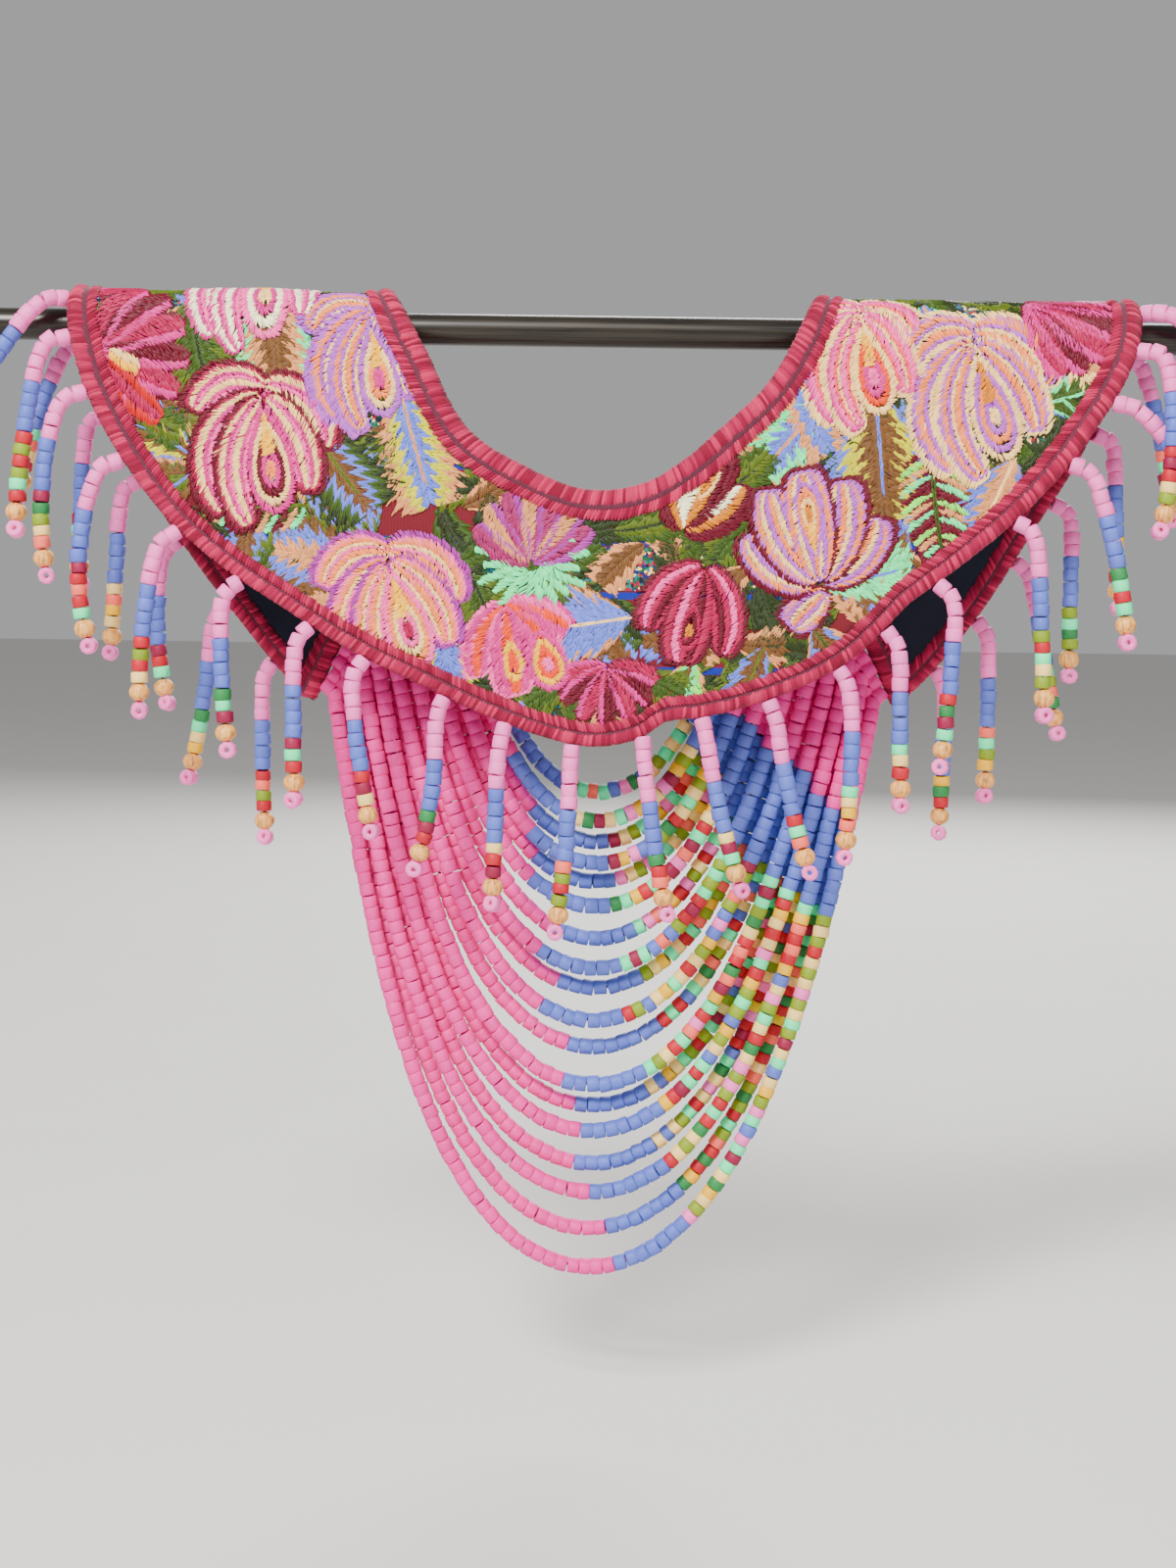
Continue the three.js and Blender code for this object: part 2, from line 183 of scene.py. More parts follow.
def newPiece(name, points, faces, material, slot):
    mesh = bpy.data.meshes.new(name)
    mesh.from_pydata([tuple(p) for p in np.asarray(points) * metre], [],
                     [tuple(int(i) for i in face) for face in faces])
    mesh.update()
    mesh.shade_smooth()
    piece = toScene(name, mesh)
    if material:
        mesh.materials.append(material)
    if slot:
        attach(piece, "root")
    return piece


def gridFaces(rows, columns, closed=False, flip=False):  # quads between rows of points
    faces = []
    for r in range(rows - 1):
        for c in range(columns if closed else columns - 1):
            d = (c + 1) % columns
            quad = (r * columns + c, r * columns + d, (r + 1) * columns + d, (r + 1) * columns + c)
            faces.append(quad[::-1] if flip else quad)
    return faces


def faceOutwards(piece):
    mesh = piece.data
    count = len(mesh.vertices)
    points = np.empty(count * 3)
    mesh.vertices.foreach_get("co", points)
    points = points.reshape(-1, 3)
    mesh.calc_loop_triangles()
    corners = np.empty(len(mesh.loop_triangles) * 3, int)
    mesh.loop_triangles.foreach_get("vertices", corners)
    a, b, c = (points[corners.reshape(-1, 3)[:, k]] for k in range(3))
    if np.einsum("ij,ij->i", a, np.cross(b, c)).sum() < 0:
        mesh.flip_normals()


def tubeFaces(rows, sides, start=0):  # the faces of a tube of rings, closed at both ends
    last = start + (rows - 1) * sides
    walls = [tuple(start + i for i in face) for face in gridFaces(rows, sides, closed=True)]
    return walls + [tuple(range(start, start + sides))[::-1], tuple(range(last, last + sides))]


def sweep(paths, sides, radius):  # round tubes along paths
    points, faces = [], []
    turn = 2 * np.pi * np.arange(sides)[:, None] / sides
    for path in paths:
        tangent = unit(np.gradient(path, axis=0))
        across = unit(np.cross(tangent, np.array([0.0, 1.0, 0.0]) + 1e-4))  # nudged off the path's own line
        up = np.cross(across, tangent)
        faces += tubeFaces(len(path), sides, len(points))
        rings = path[:, None] + radius * (across[:, None] * np.cos(turn) + up[:, None] * np.sin(turn))
        points += list(rings.reshape(-1, 3))
    return points, faces


def lathe(outline, sides, bored=False):  # turned round X from rows of x and radius
    points = [(x, r * math.cos(2 * math.pi * j / sides), r * math.sin(2 * math.pi * j / sides))
              for x, r in outline for j in range(sides)]
    if not bored:
        return points, tubeFaces(len(outline), sides)
    last = (len(outline) - 1) * sides
    bore = [(last + j, last + (j + 1) % sides, (j + 1) % sides, j) for j in range(sides)]
    return points, gridFaces(len(outline), sides, closed=True) + bore


# The tree that sets one small unit on every point: stitches, yarn wraps and beads
def buildScatterTree():
    tree = bpy.data.node_groups.new("setUnitsOnPoints", "GeometryNodeTree")
    for label, kind in (("Geometry", "Geometry"), ("Unit", "Object"), ("Material", "Material"),
                        ("Shade spread", "Float"), ("Seed", "Int")):
        tree.interface.new_socket(label, in_out="INPUT", socket_type="NodeSocket" + kind)
    tree.interface.new_socket("Geometry", in_out="OUTPUT", socket_type="NodeSocketGeometry")
    given = addNode(tree, "NodeGroupInput").outputs
    shape = addNode(tree, "GeometryNodeObjectInfo", inputs={"Object": given["Unit"]})
    turn = addNode(tree, "GeometryNodeInputNamedAttribute", {"data_type": "FLOAT_VECTOR"}, {"Name": "turn"})
    size = addNode(tree, "GeometryNodeInputNamedAttribute", {"data_type": "FLOAT_VECTOR"}, {"Name": "size"})
    placed = addNode(tree, "GeometryNodeInstanceOnPoints", inputs={
        "Points": given["Geometry"], "Instance": shape.outputs["Geometry"],
        "Rotation": turn.outputs["Attribute"], "Scale": size.outputs["Attribute"]})
    least = addNode(tree, "ShaderNodeMath", {"operation": "SUBTRACT"}, {0: 1.0, 1: given["Shade spread"]})
    most = addNode(tree, "ShaderNodeMath", {"operation": "ADD"}, {0: 1.0, 1: given["Shade spread"]})
    shade = addNode(tree, "FunctionNodeRandomValue", {"data_type": "FLOAT"})
    numbers = [s for s in shade.inputs if s.enabled]
    tree.links.new(least.outputs[0], numbers[0])
    tree.links.new(most.outputs[0], numbers[1])
    tree.links.new(given["Seed"], shade.inputs["Seed"])
    drawn = [s for s in shade.outputs if s.enabled][0]
    kept = addNode(tree, "GeometryNodeStoreNamedAttribute", {"data_type": "FLOAT", "domain": "INSTANCE"},
                   {"Geometry": placed.outputs["Instances"], "Name": "shade", "Value": drawn})
    whole = addNode(tree, "GeometryNodeRealizeInstances", inputs={"Geometry": kept.outputs["Geometry"]})
    finished = addNode(tree, "GeometryNodeSetMaterial",
                       inputs={"Geometry": whole.outputs["Geometry"], "Material": given["Material"]})
    addNode(tree, "NodeGroupOutput", inputs={"Geometry": finished.outputs["Geometry"]})
    return tree


scatterTree = buildScatterTree()


def eulerOf(x, y, z):  # XYZ angles of the frames whose axes are given
    return np.stack([np.arctan2(y[:, 2], z[:, 2]), np.arcsin(np.clip(-x[:, 2], -1, 1)),
                     np.arctan2(x[:, 1], x[:, 0])], axis=-1)


def setUnits(name, unitObject, material, places, axes, sizes, tints, spread, seed):
    mesh = bpy.data.meshes.new(name)
    mesh.from_pydata([tuple(p) for p in np.asarray(places) * metre], [], [])
    for label, kind, values in (("turn", "VECTOR", eulerOf(*axes)), ("size", "VECTOR", sizes),
                                ("tint", "COLOR", tints)):
        made = mesh.attributes.new(label, "FLOAT_" + kind, "POINT")
        made.data.foreach_set(kind.lower(), np.asarray(values, float).ravel())
    piece = toScene(name, mesh)
    modifier = piece.modifiers.new("units", "NODES")
    modifier.node_group = scatterTree
    socketOf = {s.name: s.identifier for s in scatterTree.interface.items_tree if s.in_out == "INPUT"}
    for label, value in (("Unit", unitObject), ("Material", material), ("Shade spread", spread),
                         ("Seed", seed)):
        modifier[socketOf[label]] = value
    made = bpy.data.meshes.new_from_object(piece.evaluated_get(bpy.context.evaluated_depsgraph_get()))
    piece.modifiers.clear()
    piece.data = made
    for label in ("turn", "size"):
        if label in made.attributes:
            made.attributes.remove(made.attributes[label])
    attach(piece, "root")
    print(f"{name}: {len(places)} units, {sum(len(p.vertices) - 2 for p in made.polygons)} triangles")
    return piece


# Materials
def shadedTint(tree):  # the unit's own colour times its random shade
    tint = addNode(tree, "ShaderNodeAttribute", {"attribute_name": "tint"})
    shade = addNode(tree, "ShaderNodeAttribute", {"attribute_name": "shade"})
    return addNode(tree, "ShaderNodeVectorMath", {"operation": "SCALE"},
                   {0: tint.outputs["Color"], "Scale": shade.outputs["Fac"]}).outputs[0]


def metres(tree):
    return addNode(tree, "ShaderNodeTexCoord").outputs["Object"]


def addBump(tree, shader, height, strength, distance):
    bump = addNode(tree, "ShaderNodeBump",
                   inputs={"Height": height, "Strength": strength, "Distance": distance})
    tree.links.new(bump.outputs["Normal"], shader.inputs["Normal"])


def makeThread():  # mercerised cotton floss: a soft silky gleam along each stitch
    material, tree, shader = newMaterial("mercerisedCottonFloss", 0.48, Sheen_Weight=0.04,
                                         Sheen_Roughness=0.4, Specular_IOR_Level=0.24)
    tree.links.new(shadedTint(tree), shader.inputs["Base Color"])
    grain = addNode(tree, "ShaderNodeTexNoise",
                    inputs={"Vector": metres(tree), "Scale": 2600.0, "Detail": 2.0})
    addBump(tree, shader, grain.outputs["Fac"], 0.25, 0.00015)  # the floss's loose fibres, 0.4 mm
    return material


def makeYarn():  # plied acrylic yarn, wound: matte, with its twist showing
    material, tree, shader = newMaterial("pliedAcrylicYarn", 0.85, Sheen_Weight=0.08, Sheen_Roughness=0.5,
                                         Specular_IOR_Level=0.2)
    tree.links.new(shadedTint(tree), shader.inputs["Base Color"])
    twist = addNode(tree, "ShaderNodeUVMap", {"uv_map": "ply"})
    strands = addNode(tree, "ShaderNodeTexWave", {"bands_direction": "DIAGONAL"},
                      {"Vector": twist.outputs["UV"], "Scale": 3.2, "Distortion": 1.5, "Detail": 2.0})
    addBump(tree, shader, strands.outputs["Fac"], 0.6, 0.0002)
    return material


def makeBead():  # fired clay beads with a matte slip colour: chalky, slightly speckled
    material, tree, shader = newMaterial("matteSlipClay", 0.58, Specular_IOR_Level=0.4)
    speck = addNode(tree, "ShaderNodeTexNoise",
                    inputs={"Vector": metres(tree), "Scale": 900.0, "Detail": 3.0})
    tone = addNode(tree, "ShaderNodeMapRange",
                   inputs={"Value": speck.outputs["Fac"], "To Min": 0.86, "To Max": 1.1})
    scaled = addNode(tree, "ShaderNodeVectorMath", {"operation": "SCALE"},
                     {0: shadedTint(tree), "Scale": tone.outputs["Result"]})
    tree.links.new(scaled.outputs[0], shader.inputs["Base Color"])
    addBump(tree, shader, speck.outputs["Fac"], 0.35, 0.0002)
    return material


def makeWood():  # turned beech beads, unvarnished: pale with fine darker grain
    material, tree, shader = newMaterial("turnedBeech", 0.5, Specular_IOR_Level=0.45)
    place = addNode(tree, "ShaderNodeMapping", inputs={"Vector": metres(tree), "Scale": (1.0, 1.0, 0.25)})
    grain = addNode(tree, "ShaderNodeTexNoise",
                    inputs={"Vector": place.outputs[0], "Scale": 900.0, "Detail": 4.0})
    colourBy(tree, shader, grain.outputs["Fac"], [(0.3, "#9D6629"), (0.55, "#F1A752"), (0.8, "#F1C066")])
    return material


def makeGround():  # handloomed cotton: maroon ribs with stripes and speckled brocade rows
    material, tree, shader = newMaterial("ribbedHandloomCotton", 0.85, Sheen_Weight=0.2,
                                         Specular_IOR_Level=0.25)
    place = addNode(tree, "ShaderNodeUVMap", {"uv_map": "flatCut"})
    parts = addNode(tree, "ShaderNodeSeparateXYZ", inputs={"Vector": place.outputs["UV"]})
    stripeRun = 0.024  # metres from one stripe's middle to the next brocade row's
    cycle = addNode(tree, "ShaderNodeMath", {"operation": "PINGPONG"}, {0: parts.outputs["Y"], 1: stripeRun})
    rows = addNode(tree, "ShaderNodeMapRange", inputs={"Value": cycle.outputs[0], "From Max": stripeRun})
    stripes = setStops(addNode(tree, "ShaderNodeValToRGB", {}, {"Fac": rows.outputs["Result"]}),
                       [(0.0, "#650D1B"), (0.52, "#650D1B"), (0.53, "#0D1D8A"), (0.63, "#0D1D8A"),
                        (0.64, "#4D0D19"), (1.0, "#570D1B")])
    fleck = addNode(tree, "ShaderNodeTexVoronoi", inputs={"Vector": place.outputs["UV"], "Scale": 900.0})
    colour = addNode(tree, "ShaderNodeSeparateColor", inputs={"Color": fleck.outputs["Color"]})
    flecks = setStops(addNode(tree, "ShaderNodeValToRGB", {}, {"Fac": colour.outputs["Red"]}),
                      [(0.0, "#0D6A65"), (0.25, "#0D1E63"), (0.45, "#F1CD7B"), (0.6, "#0D4E2A"),
                       (0.75, "#940D28"), (0.9, "#0D1424")])
    flecks.color_ramp.interpolation = "CONSTANT"
    inside = addNode(tree, "ShaderNodeMath", {"operation": "GREATER_THAN"},
                     {0: rows.outputs["Result"], 1: 0.66})
    mixed = addNode(tree, "ShaderNodeMix", {"data_type": "RGBA"}, {"Factor": inside.outputs[0]})
    tree.links.new(stripes.outputs["Color"], mixed.inputs["A"])
    tree.links.new(flecks.outputs["Color"], mixed.inputs["B"])
    tree.links.new([o for o in mixed.outputs if o.enabled][0], shader.inputs["Base Color"])
    ribs = addNode(tree, "ShaderNodeTexWave", {"bands_direction": "X"},
                   {"Vector": place.outputs["UV"], "Scale": 260.0, "Distortion": 0.4})
    addBump(tree, shader, ribs.outputs["Fac"], 0.5, 0.0003)  # a rib every 0.8 mm or so
    return material


def makeLining():  # plain woven navy cotton: dull, with a faint weave and nap
    material, tree, shader = newMaterial("navyPlainCotton", 0.9, Sheen_Weight=0.3, Specular_IOR_Level=0.2)
    place = addNode(tree, "ShaderNodeUVMap", {"uv_map": "flatCut"})
    cloud = addNode(tree, "ShaderNodeTexNoise",
                    inputs={"Vector": place.outputs["UV"], "Scale": 60.0, "Detail": 4.0})
    colourBy(tree, shader, cloud.outputs["Fac"], [(0.3, "#0D0D1E"), (0.7, "#0F172B")])
    weave = addNode(tree, "ShaderNodeTexBrick", inputs={"Vector": place.outputs["UV"], "Scale": 900.0})
    addBump(tree, shader, weave.outputs["Fac"], 0.4, 0.0002)
    return material


def makeRodMetal():  # drawn steel tube, dark bronze lacquer, lightly streaked along its length
    material, tree, shader = newMaterial("bronzeLacqueredSteel", 0.4, Metallic=0.35)
    place = addNode(tree, "ShaderNodeMapping", inputs={"Vector": metres(tree), "Scale": (6.0, 400.0, 400.0)})
    streak = addNode(tree, "ShaderNodeTexNoise",
                     inputs={"Vector": place.outputs[0], "Scale": 4.0, "Detail": 4.0})
    colourBy(tree, shader, streak.outputs["Fac"], [(0.3, "#120F0C"), (0.7, "#332C22")])
    rough = addNode(tree, "ShaderNodeMapRange",
                    inputs={"Value": streak.outputs["Fac"], "To Min": 0.24, "To Max": 0.42})
    tree.links.new(rough.outputs["Result"], shader.inputs["Roughness"])
    return material


thread, yarn, beadClay, beech = makeThread(), makeYarn(), makeBead(), makeWood()
groundCotton, liningCotton, rodMetal = makeGround(), makeLining(), makeRodMetal()

# Camera, floor and light
view = {"place": (-5.7, -844.0, -111.5), "pitch": -4.2, "roll": 0.8, "lens": 50.0, "height": 36.0}
camera = bpy.data.objects.new("camera", bpy.data.cameras.new("camera"))
camera.data.lens = view["lens"]
camera.data.sensor_fit = "VERTICAL"
camera.data.sensor_height = view["height"]
camera.data.clip_start = 0.05
camera.matrix_world = (Matrix.Translation([c * metre for c in view["place"]])
                       @ Matrix.Rotation(math.radians(90 + view["pitch"]), 4, "X")
                       @ Matrix.Rotation(math.radians(view["roll"]), 4, "Z"))
bpy.context.scene.collection.objects.link(camera)
bpy.context.scene.camera = camera

studio = {"floorZ": -430.0, "floorHalf": 30000.0, "sky": "#E6E6E8", "skyPower": 0.5}
floorMaterial = mottled("palePaintedFloor", 0.75, 6.0, [(0.2, "#D6D4D0"), (0.8, "#D9D7D3")])
corners = [(x * studio["floorHalf"], y * studio["floorHalf"], studio["floorZ"])
           for x, y in ((-1, -1), (1, -1), (1, 1), (-1, 1))]
newPiece("floor", corners, [(0, 1, 2, 3)], floorMaterial, None)

world = bpy.data.worlds.new("studio")
world.use_nodes = True
sky = world.node_tree.nodes["Background"]
sky.inputs["Color"].default_value = hexToLinear(studio["sky"])
sky.inputs["Strength"].default_value = studio["skyPower"]
bpy.context.scene.world = world

aimedAt = np.array([0.0, 0.0, -0.12])  # the middle of the cape, in metres
lamps = [  # name, place in metres, size in metres, watts
    ("keyLight", (-0.9, -2.0, 1.7), 0.8, 175.0),
    ("fillLight", (1.9, -2.2, 0.1), 1.8, 38.0),
    ("backLight", (0.5, 2.4, 1.3), 1.6, 90.0),
]
for name, place, size, watts in lamps:
    light = bpy.data.lights.new(name, "AREA")
    light.shape = "SQUARE"
    light.size = size
    light.energy = watts
    back = unit(np.array(place) - aimedAt)
    side = unit(np.cross([0.0, 0.0, 1.0], back))
    turned = Matrix(np.column_stack([side, np.cross(back, side), back]).tolist())
    toScene(name, light).matrix_world = Matrix.Translation(place) @ turned.to_4x4()
print("camera, floor and light")

# The rod
rodShape = {"radius": 6.0, "length": 520.0, "sides": 56, "chamfer": 0.5, "spans": 24}


def makeRod():
    radius, chamfer, spans = rodShape["radius"], rodShape["chamfer"], rodShape["spans"]
    half = rodShape["length"] / 2
    inner = [(-half + rodShape["length"] * k / spans, radius) for k in range(1, spans)]
    outline = [(-half, radius - chamfer), (-half + chamfer, radius), *inner,
               (half - chamfer, radius), (half, radius - chamfer)]
    rod = newPiece("hangingRod", *lathe(outline, rodShape["sides"]), rodMetal, "rod")
    for polygon in rod.data.polygons:
        polygon.use_smooth = len(polygon.vertices) == 4
    faceOutwards(rod)
    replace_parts(rod, "rod")


makeRod()

# The two cloth layers
layers = {"face": (1.1, 2.0), "lining": (-1.5, -0.5), "stationStep": 1.3, "rows": 14, "tuck": 2.0,
          "uvShift": 0.25}


def clothLayer(name, inner, outer, material, slot):
    stations = int(2 * cut["endAngle"] / layers["stationStep"]) + 1
    angles = np.linspace(-cut["endAngle"], cut["endAngle"], stations)
    near = radiusAt(cut["neck"], angles) + band["neckWidth"] - layers["tuck"]
    far = radiusAt(cut["hem"], angles) - hemBandWidth(angles) + layers["tuck"]
    share = np.linspace(0, 1, layers["rows"])
    radii = near[:, None] + (far - near)[:, None] * share[None, :]
    turned = np.repeat(angles[:, None], layers["rows"], 1)
    u, v = cutPoint(turned, radii)
    points = np.concatenate([onCloth(u, v, outer).reshape(-1, 3), onCloth(u, v, inner).reshape(-1, 3)])
    rows, columns = len(angles), layers["rows"]
    count = rows * columns
    faces = gridFaces(rows, columns)
    faces += [tuple(i + count for i in face) for face in gridFaces(rows, columns, flip=True)]
    rim = ([r * columns for r in range(rows)] + [(rows - 1) * columns + c for c in range(1, columns)]
           + [r * columns + columns - 1 for r in range(rows - 2, -1, -1)] + list(range(columns - 2, 0, -1)))
    faces += [(a, b, b + count, a + count) for a, b in zip(rim, rim[1:] + rim[:1])]
    piece = newPiece(name, points, faces, material, slot)
    flat = np.stack([u, v], -1).reshape(-1, 2)
    flat = np.concatenate([flat, flat]) * metre + layers["uvShift"]
    layer = piece.data.uv_layers.new(name="flatCut")
    corners = np.empty(len(piece.data.loops), int)
    piece.data.loops.foreach_get("vertex_index", corners)
    layer.data.foreach_set("uv", flat[corners].ravel())
    faceOutwards(piece)
    area = float((0.5 * (far**2 - near**2)).mean() * 2 * math.radians(cut["endAngle"])) * metre**2
    return piece, area


faceCloth, faceArea = clothLayer("embroideredGround", *layers["face"], groundCotton, "embroidered_cloth")
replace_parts(faceCloth, "yoke_cloth")
liningCloth, liningArea = clothLayer("navyLining", *layers["lining"], liningCotton, "lining")
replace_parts(liningCloth, "yoke_lining")
print(f"cloth layers: {faceArea:.4f} and {liningArea:.4f} square metres")

# The yarn band: a core, wraps over it, and slanted stitches along its inner side
wrapping = {"pitch": 1.12, "width": 1.5, "sides": 14, "slant": 15.0, "unevenSlant": 3.5, "crown": 0.055,
            "core": 0.93, "coreSides": 16, "coreStep": 3.0, "flange": 0.22, "stations": 1600,
            "toothPitch": 1.2, "toothReach": 1.6, "toothSlant": 1.0, "toothWidth": 1.25, "toothHeight": 1.0,
            "toothOffsets": {1: (3.15, 3.0), -1: (-1.9, -2.6)},
            "colours": ["#960C3A", "#AC1646", "#C42252", "#84062E"]}


def openUnit(name, points, columns, closed, plies):  # a sheet of faces, with the yarn's ply as its UV map
    mesh = bpy.data.meshes.new(name)
    rows = len(points) // columns
    mesh.from_pydata(points, [], [(r * columns + k, d * columns + k, d * columns + k + 1, r * columns + k + 1)
                                  for r in range(rows if closed else rows - 1) for d in [(r + 1) % rows]
                                  for k in range(columns - 1)])
    mesh.shade_smooth()
    layer = mesh.uv_layers.new(name="ply")
    for loop in mesh.loops:
        layer.data[loop.index].uv = plies[loop.vertex_index]
    return toScene(name, mesh)


def makeWrapUnit():  # one turn of yarn round a section one wide and one thick, open underneath
    sides = wrapping["sides"]
    points, plies = [], []
    for j in range(sides):
        turn = 2 * math.pi * j / sides
        for k, (x, lift) in enumerate(((-0.5, 0.0), (0.0, 1.0), (0.5, 0.0))):
            reach = 0.5 + wrapping["crown"] * lift
            points.append((x, reach * math.cos(turn), reach * math.sin(turn)))
            plies.append((j / sides * 9, k * 0.5))
    return openUnit("yarnTurn", points, 3, True, plies)


def makeStitchUnit():  # a short arched thread one long and one wide, its ends going down
    points = []
    for x, wide, lift in ((-0.5, 0.55, -0.25), (-0.22, 1.0, 0.75), (0.22, 1.0, 0.75), (0.5, 0.55, -0.25)):
        rim = lift - 0.55 * (lift > 0)
        points += [(x, -wide / 2, rim), (x, 0, lift + 0.25), (x, wide / 2, rim)]
    return openUnit("shortStitch", points, 3, False, [(x * 3, y + 0.5) for x, y, _ in points])


wrapUnit, stitchUnit = makeWrapUnit(), makeStitchUnit()


def makeBand(name, node, place, widthAt, seed, clothSide):  # the cloth lies at its side 0 or 1
    draw = np.random.default_rng(seed)
    share = np.linspace(0, 1, wrapping["stations"])
    steps = np.linalg.norm(np.diff(place(share, 0.5, 0.0), axis=0), axis=1)
    length = np.concatenate([[0], np.cumsum(steps)])
    palette = np.array([hexToLinear(c) for c in wrapping["colours"]])

    def spotsEvery(pitch):
        count = int(length[-1] / pitch)
        return count, np.interp((np.arange(count) + 0.5) * length[-1] / count, length, share)

    count, at = spotsEvery(wrapping["pitch"])
    rollMiddle = 0.5 + (0.5 - clothSide) * wrapping["flange"]
    ahead, behind = np.minimum(at + 1e-3, 1), np.maximum(at - 1e-3, 0)
    along = unit(place(ahead, rollMiddle, 0.0) - place(behind, rollMiddle, 0.0))
    across = unit(place(at, 1.0, 0.0) - place(at, 0.0, 0.0))
    slant = np.radians(wrapping["slant"] + draw.normal(0, wrapping["unevenSlant"], count))[:, None]
    x = unit(along * np.cos(slant) + across * np.sin(slant))
    y = unit(across * np.cos(slant) - along * np.sin(slant))
    width = widthAt(at) * (1 - wrapping["flange"])
    sizes = np.stack([wrapping["width"] * draw.uniform(0.9, 1.12, count),
                      width * draw.uniform(0.965, 1.02, count),
                      widthAt(at) * band["thickPerWidth"] * draw.uniform(0.95, 1.03, count)], -1) * metre
    wraps = setUnits(name, wrapUnit, yarn, place(at, rollMiddle, 0.0), (x, y, np.cross(x, y)), sizes,
                     palette[draw.integers(0, len(palette), count)], 0.12, seed)
    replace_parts(wraps, node)

    sides = wrapping["coreSides"]
    rows = np.linspace(0, 1, max(8, int(length[-1] / wrapping["coreStep"])))
    half = 0.5 * wrapping["core"]
    thick = half * band["thickPerWidth"] * widthAt(rows)
    points = [place(rows, 0.5 + half * math.cos(turn), thick * math.sin(turn))
              for turn in 2 * np.pi * np.arange(sides) / sides]
    # the core's dark yarn colour is painted shade for the gaps between the wraps
    core = newPiece(name + "Core", np.stack(points, 1).reshape(-1, 3), tubeFaces(len(rows), sides),
                    yarnCorePaintedShade, "band")
    faceOutwards(core)

    inward = 1 if clothSide else -1
    toothCount, spots = spotsEvery(wrapping["toothPitch"])
    wide = widthAt(spots)
    lean = wrapping["toothSlant"] / length[-1]
    starts, ends, outwards = [], [], []
    for out, (atCloth, atRoll) in wrapping["toothOffsets"].items():
        reach = (wrapping["toothReach"] + draw.uniform(-0.4, 0.5, toothCount)) / wide
        back = wrapping["flange"] + 0.5 / wide
        starts.append(place(np.clip(spots - lean, 0, 1), clothSide + inward * reach, atCloth))
        ends.append(place(np.clip(spots + lean, 0, 1), clothSide - inward * back, atRoll))
        outwards.append(out * (place(spots, clothSide, 3.0) - place(spots, clothSide, 2.0)))
    start, end = np.concatenate(starts), np.concatenate(ends)
    x = unit(end - start)
    y = unit(np.cross(np.concatenate(outwards), x))
    long = np.linalg.norm(end - start, axis=1)
    sizes = np.stack([long, np.full(len(long), wrapping["toothWidth"]),
                      np.full(len(long), wrapping["toothHeight"])], -1) * metre
    setUnits(name + "Edge", stitchUnit, yarn, (start + end) / 2, (x, y, np.cross(x, y)), sizes,
             palette[draw.integers(0, len(palette), len(long))], 0.14, seed + 1)


# The same yarn, darkened with painted shade where it shows in the gaps between the wraps
yarnCorePaintedShade = mottled("yarnUnderWindingPaintedShade", 0.9, 700.0, [(0.3, "#441126"), (0.7, "#5D142D")], Sheen_Weight=0.2)


def ringAngle(share):
    return -cut["endAngle"] + 2 * cut["endAngle"] * share


def neckPlace(share, across, offset):
    angle = ringAngle(share)
    return onRing(angle, radiusAt(cut["neck"], angle) + across * band["neckWidth"], offset)


def hemPlace(share, across, offset):
    angle = ringAngle(share)
    return onRing(angle, radiusAt(cut["hem"], angle) + (across - 1) * hemBandWidth(angle), offset)


def endPlace(side):
    def place(share, across, offset):
        angle = side * cut["endAngle"]
        near, far = float(radiusAt(cut["neck"], angle)), float(radiusAt(cut["hem"], angle))
        return pastEnd(side, near + (far - near) * share, band["seam"] + across * band["endWidth"], offset)
    return place


def constant(width):
    return lambda share: np.full(np.shape(share), width)


neckWidth, endWidth = constant(band["neckWidth"]), constant(band["endWidth"])
makeBand("neckBandWinding", "neck_band", neckPlace, neckWidth, 11, 1.0)
makeBand("hemBandWinding", "hem_band", hemPlace, lambda share: hemBandWidth(ringAngle(share)), 12, 0.0)
makeBand("leftEndWinding", "left_end_band", endPlace(-1), endWidth, 13, 0.0)
makeBand("rightEndWinding", "right_end_band", endPlace(1), endWidth, 14, 0.0)
print("bands")

# Beads
beadShape = {"diameter": 6.4, "length": 4.85, "disc": 4.2, "sides": 9, "hole": 0.3, "soft": 0.1,
             "wood": 8.0, "ballSides": 12, "ballRings": 8, "ballBore": 0.26, "lead": -0.8, "threadHalf": 0.35,
             "tilt": 0.055, "shift": 0.12, "spread": 0.07}
beadColours = {
    "pink": "#F66CB8", "swagPink": "#EA2690", "blue": "#5466BE", "cream": "#F2CC78",
    "yellow": "#ECB004", "olive": "#7E9408", "green": "#1E7A3A", "mint": "#46F0A0", "red": "#B80620",
    "magenta": "#8C0638", "salmon": "#F2604E",
}
swagColours = ["blue", "cream", "pink"]
mixedColours = ["cream", "yellow", "olive", "green", "mint", "red", "magenta", "salmon", "cream", "mint",
                "olive", "red"]


def makeTubeUnit():  # a cut clay tube, one long along X and one across, its rims slightly soft
    hole, soft = beadShape["hole"] / 2, beadShape["soft"]
    half = [(-0.5, hole), (-0.5, 0.5 - 0.5 * soft), (-0.5 + soft, 0.5)]
    points, faces = lathe(half + [(-x, r) for x, r in reversed(half)], beadShape["sides"], bored=True)
    return newPiece("clayTube", np.array(points) / metre, faces, None, None)


def makeRoundUnit():  # a turned round bead one across, bored along X
    start, rings = math.asin(beadShape["ballBore"]), beadShape["ballRings"]
    turns = [start + (math.pi - 2 * start) * k / rings for k in range(rings + 1)]
    points, faces = lathe([(-0.5 * math.cos(turn), 0.5 * math.sin(turn)) for turn in turns],
                          beadShape["ballSides"], bored=True)
    return newPiece("turnedBall", np.array(points) / metre, faces, None, None)


tubeUnit, roundUnit = makeTubeUnit(), makeRoundUnit()
for helper in (tubeUnit, roundUnit):
    faceOutwards(helper)


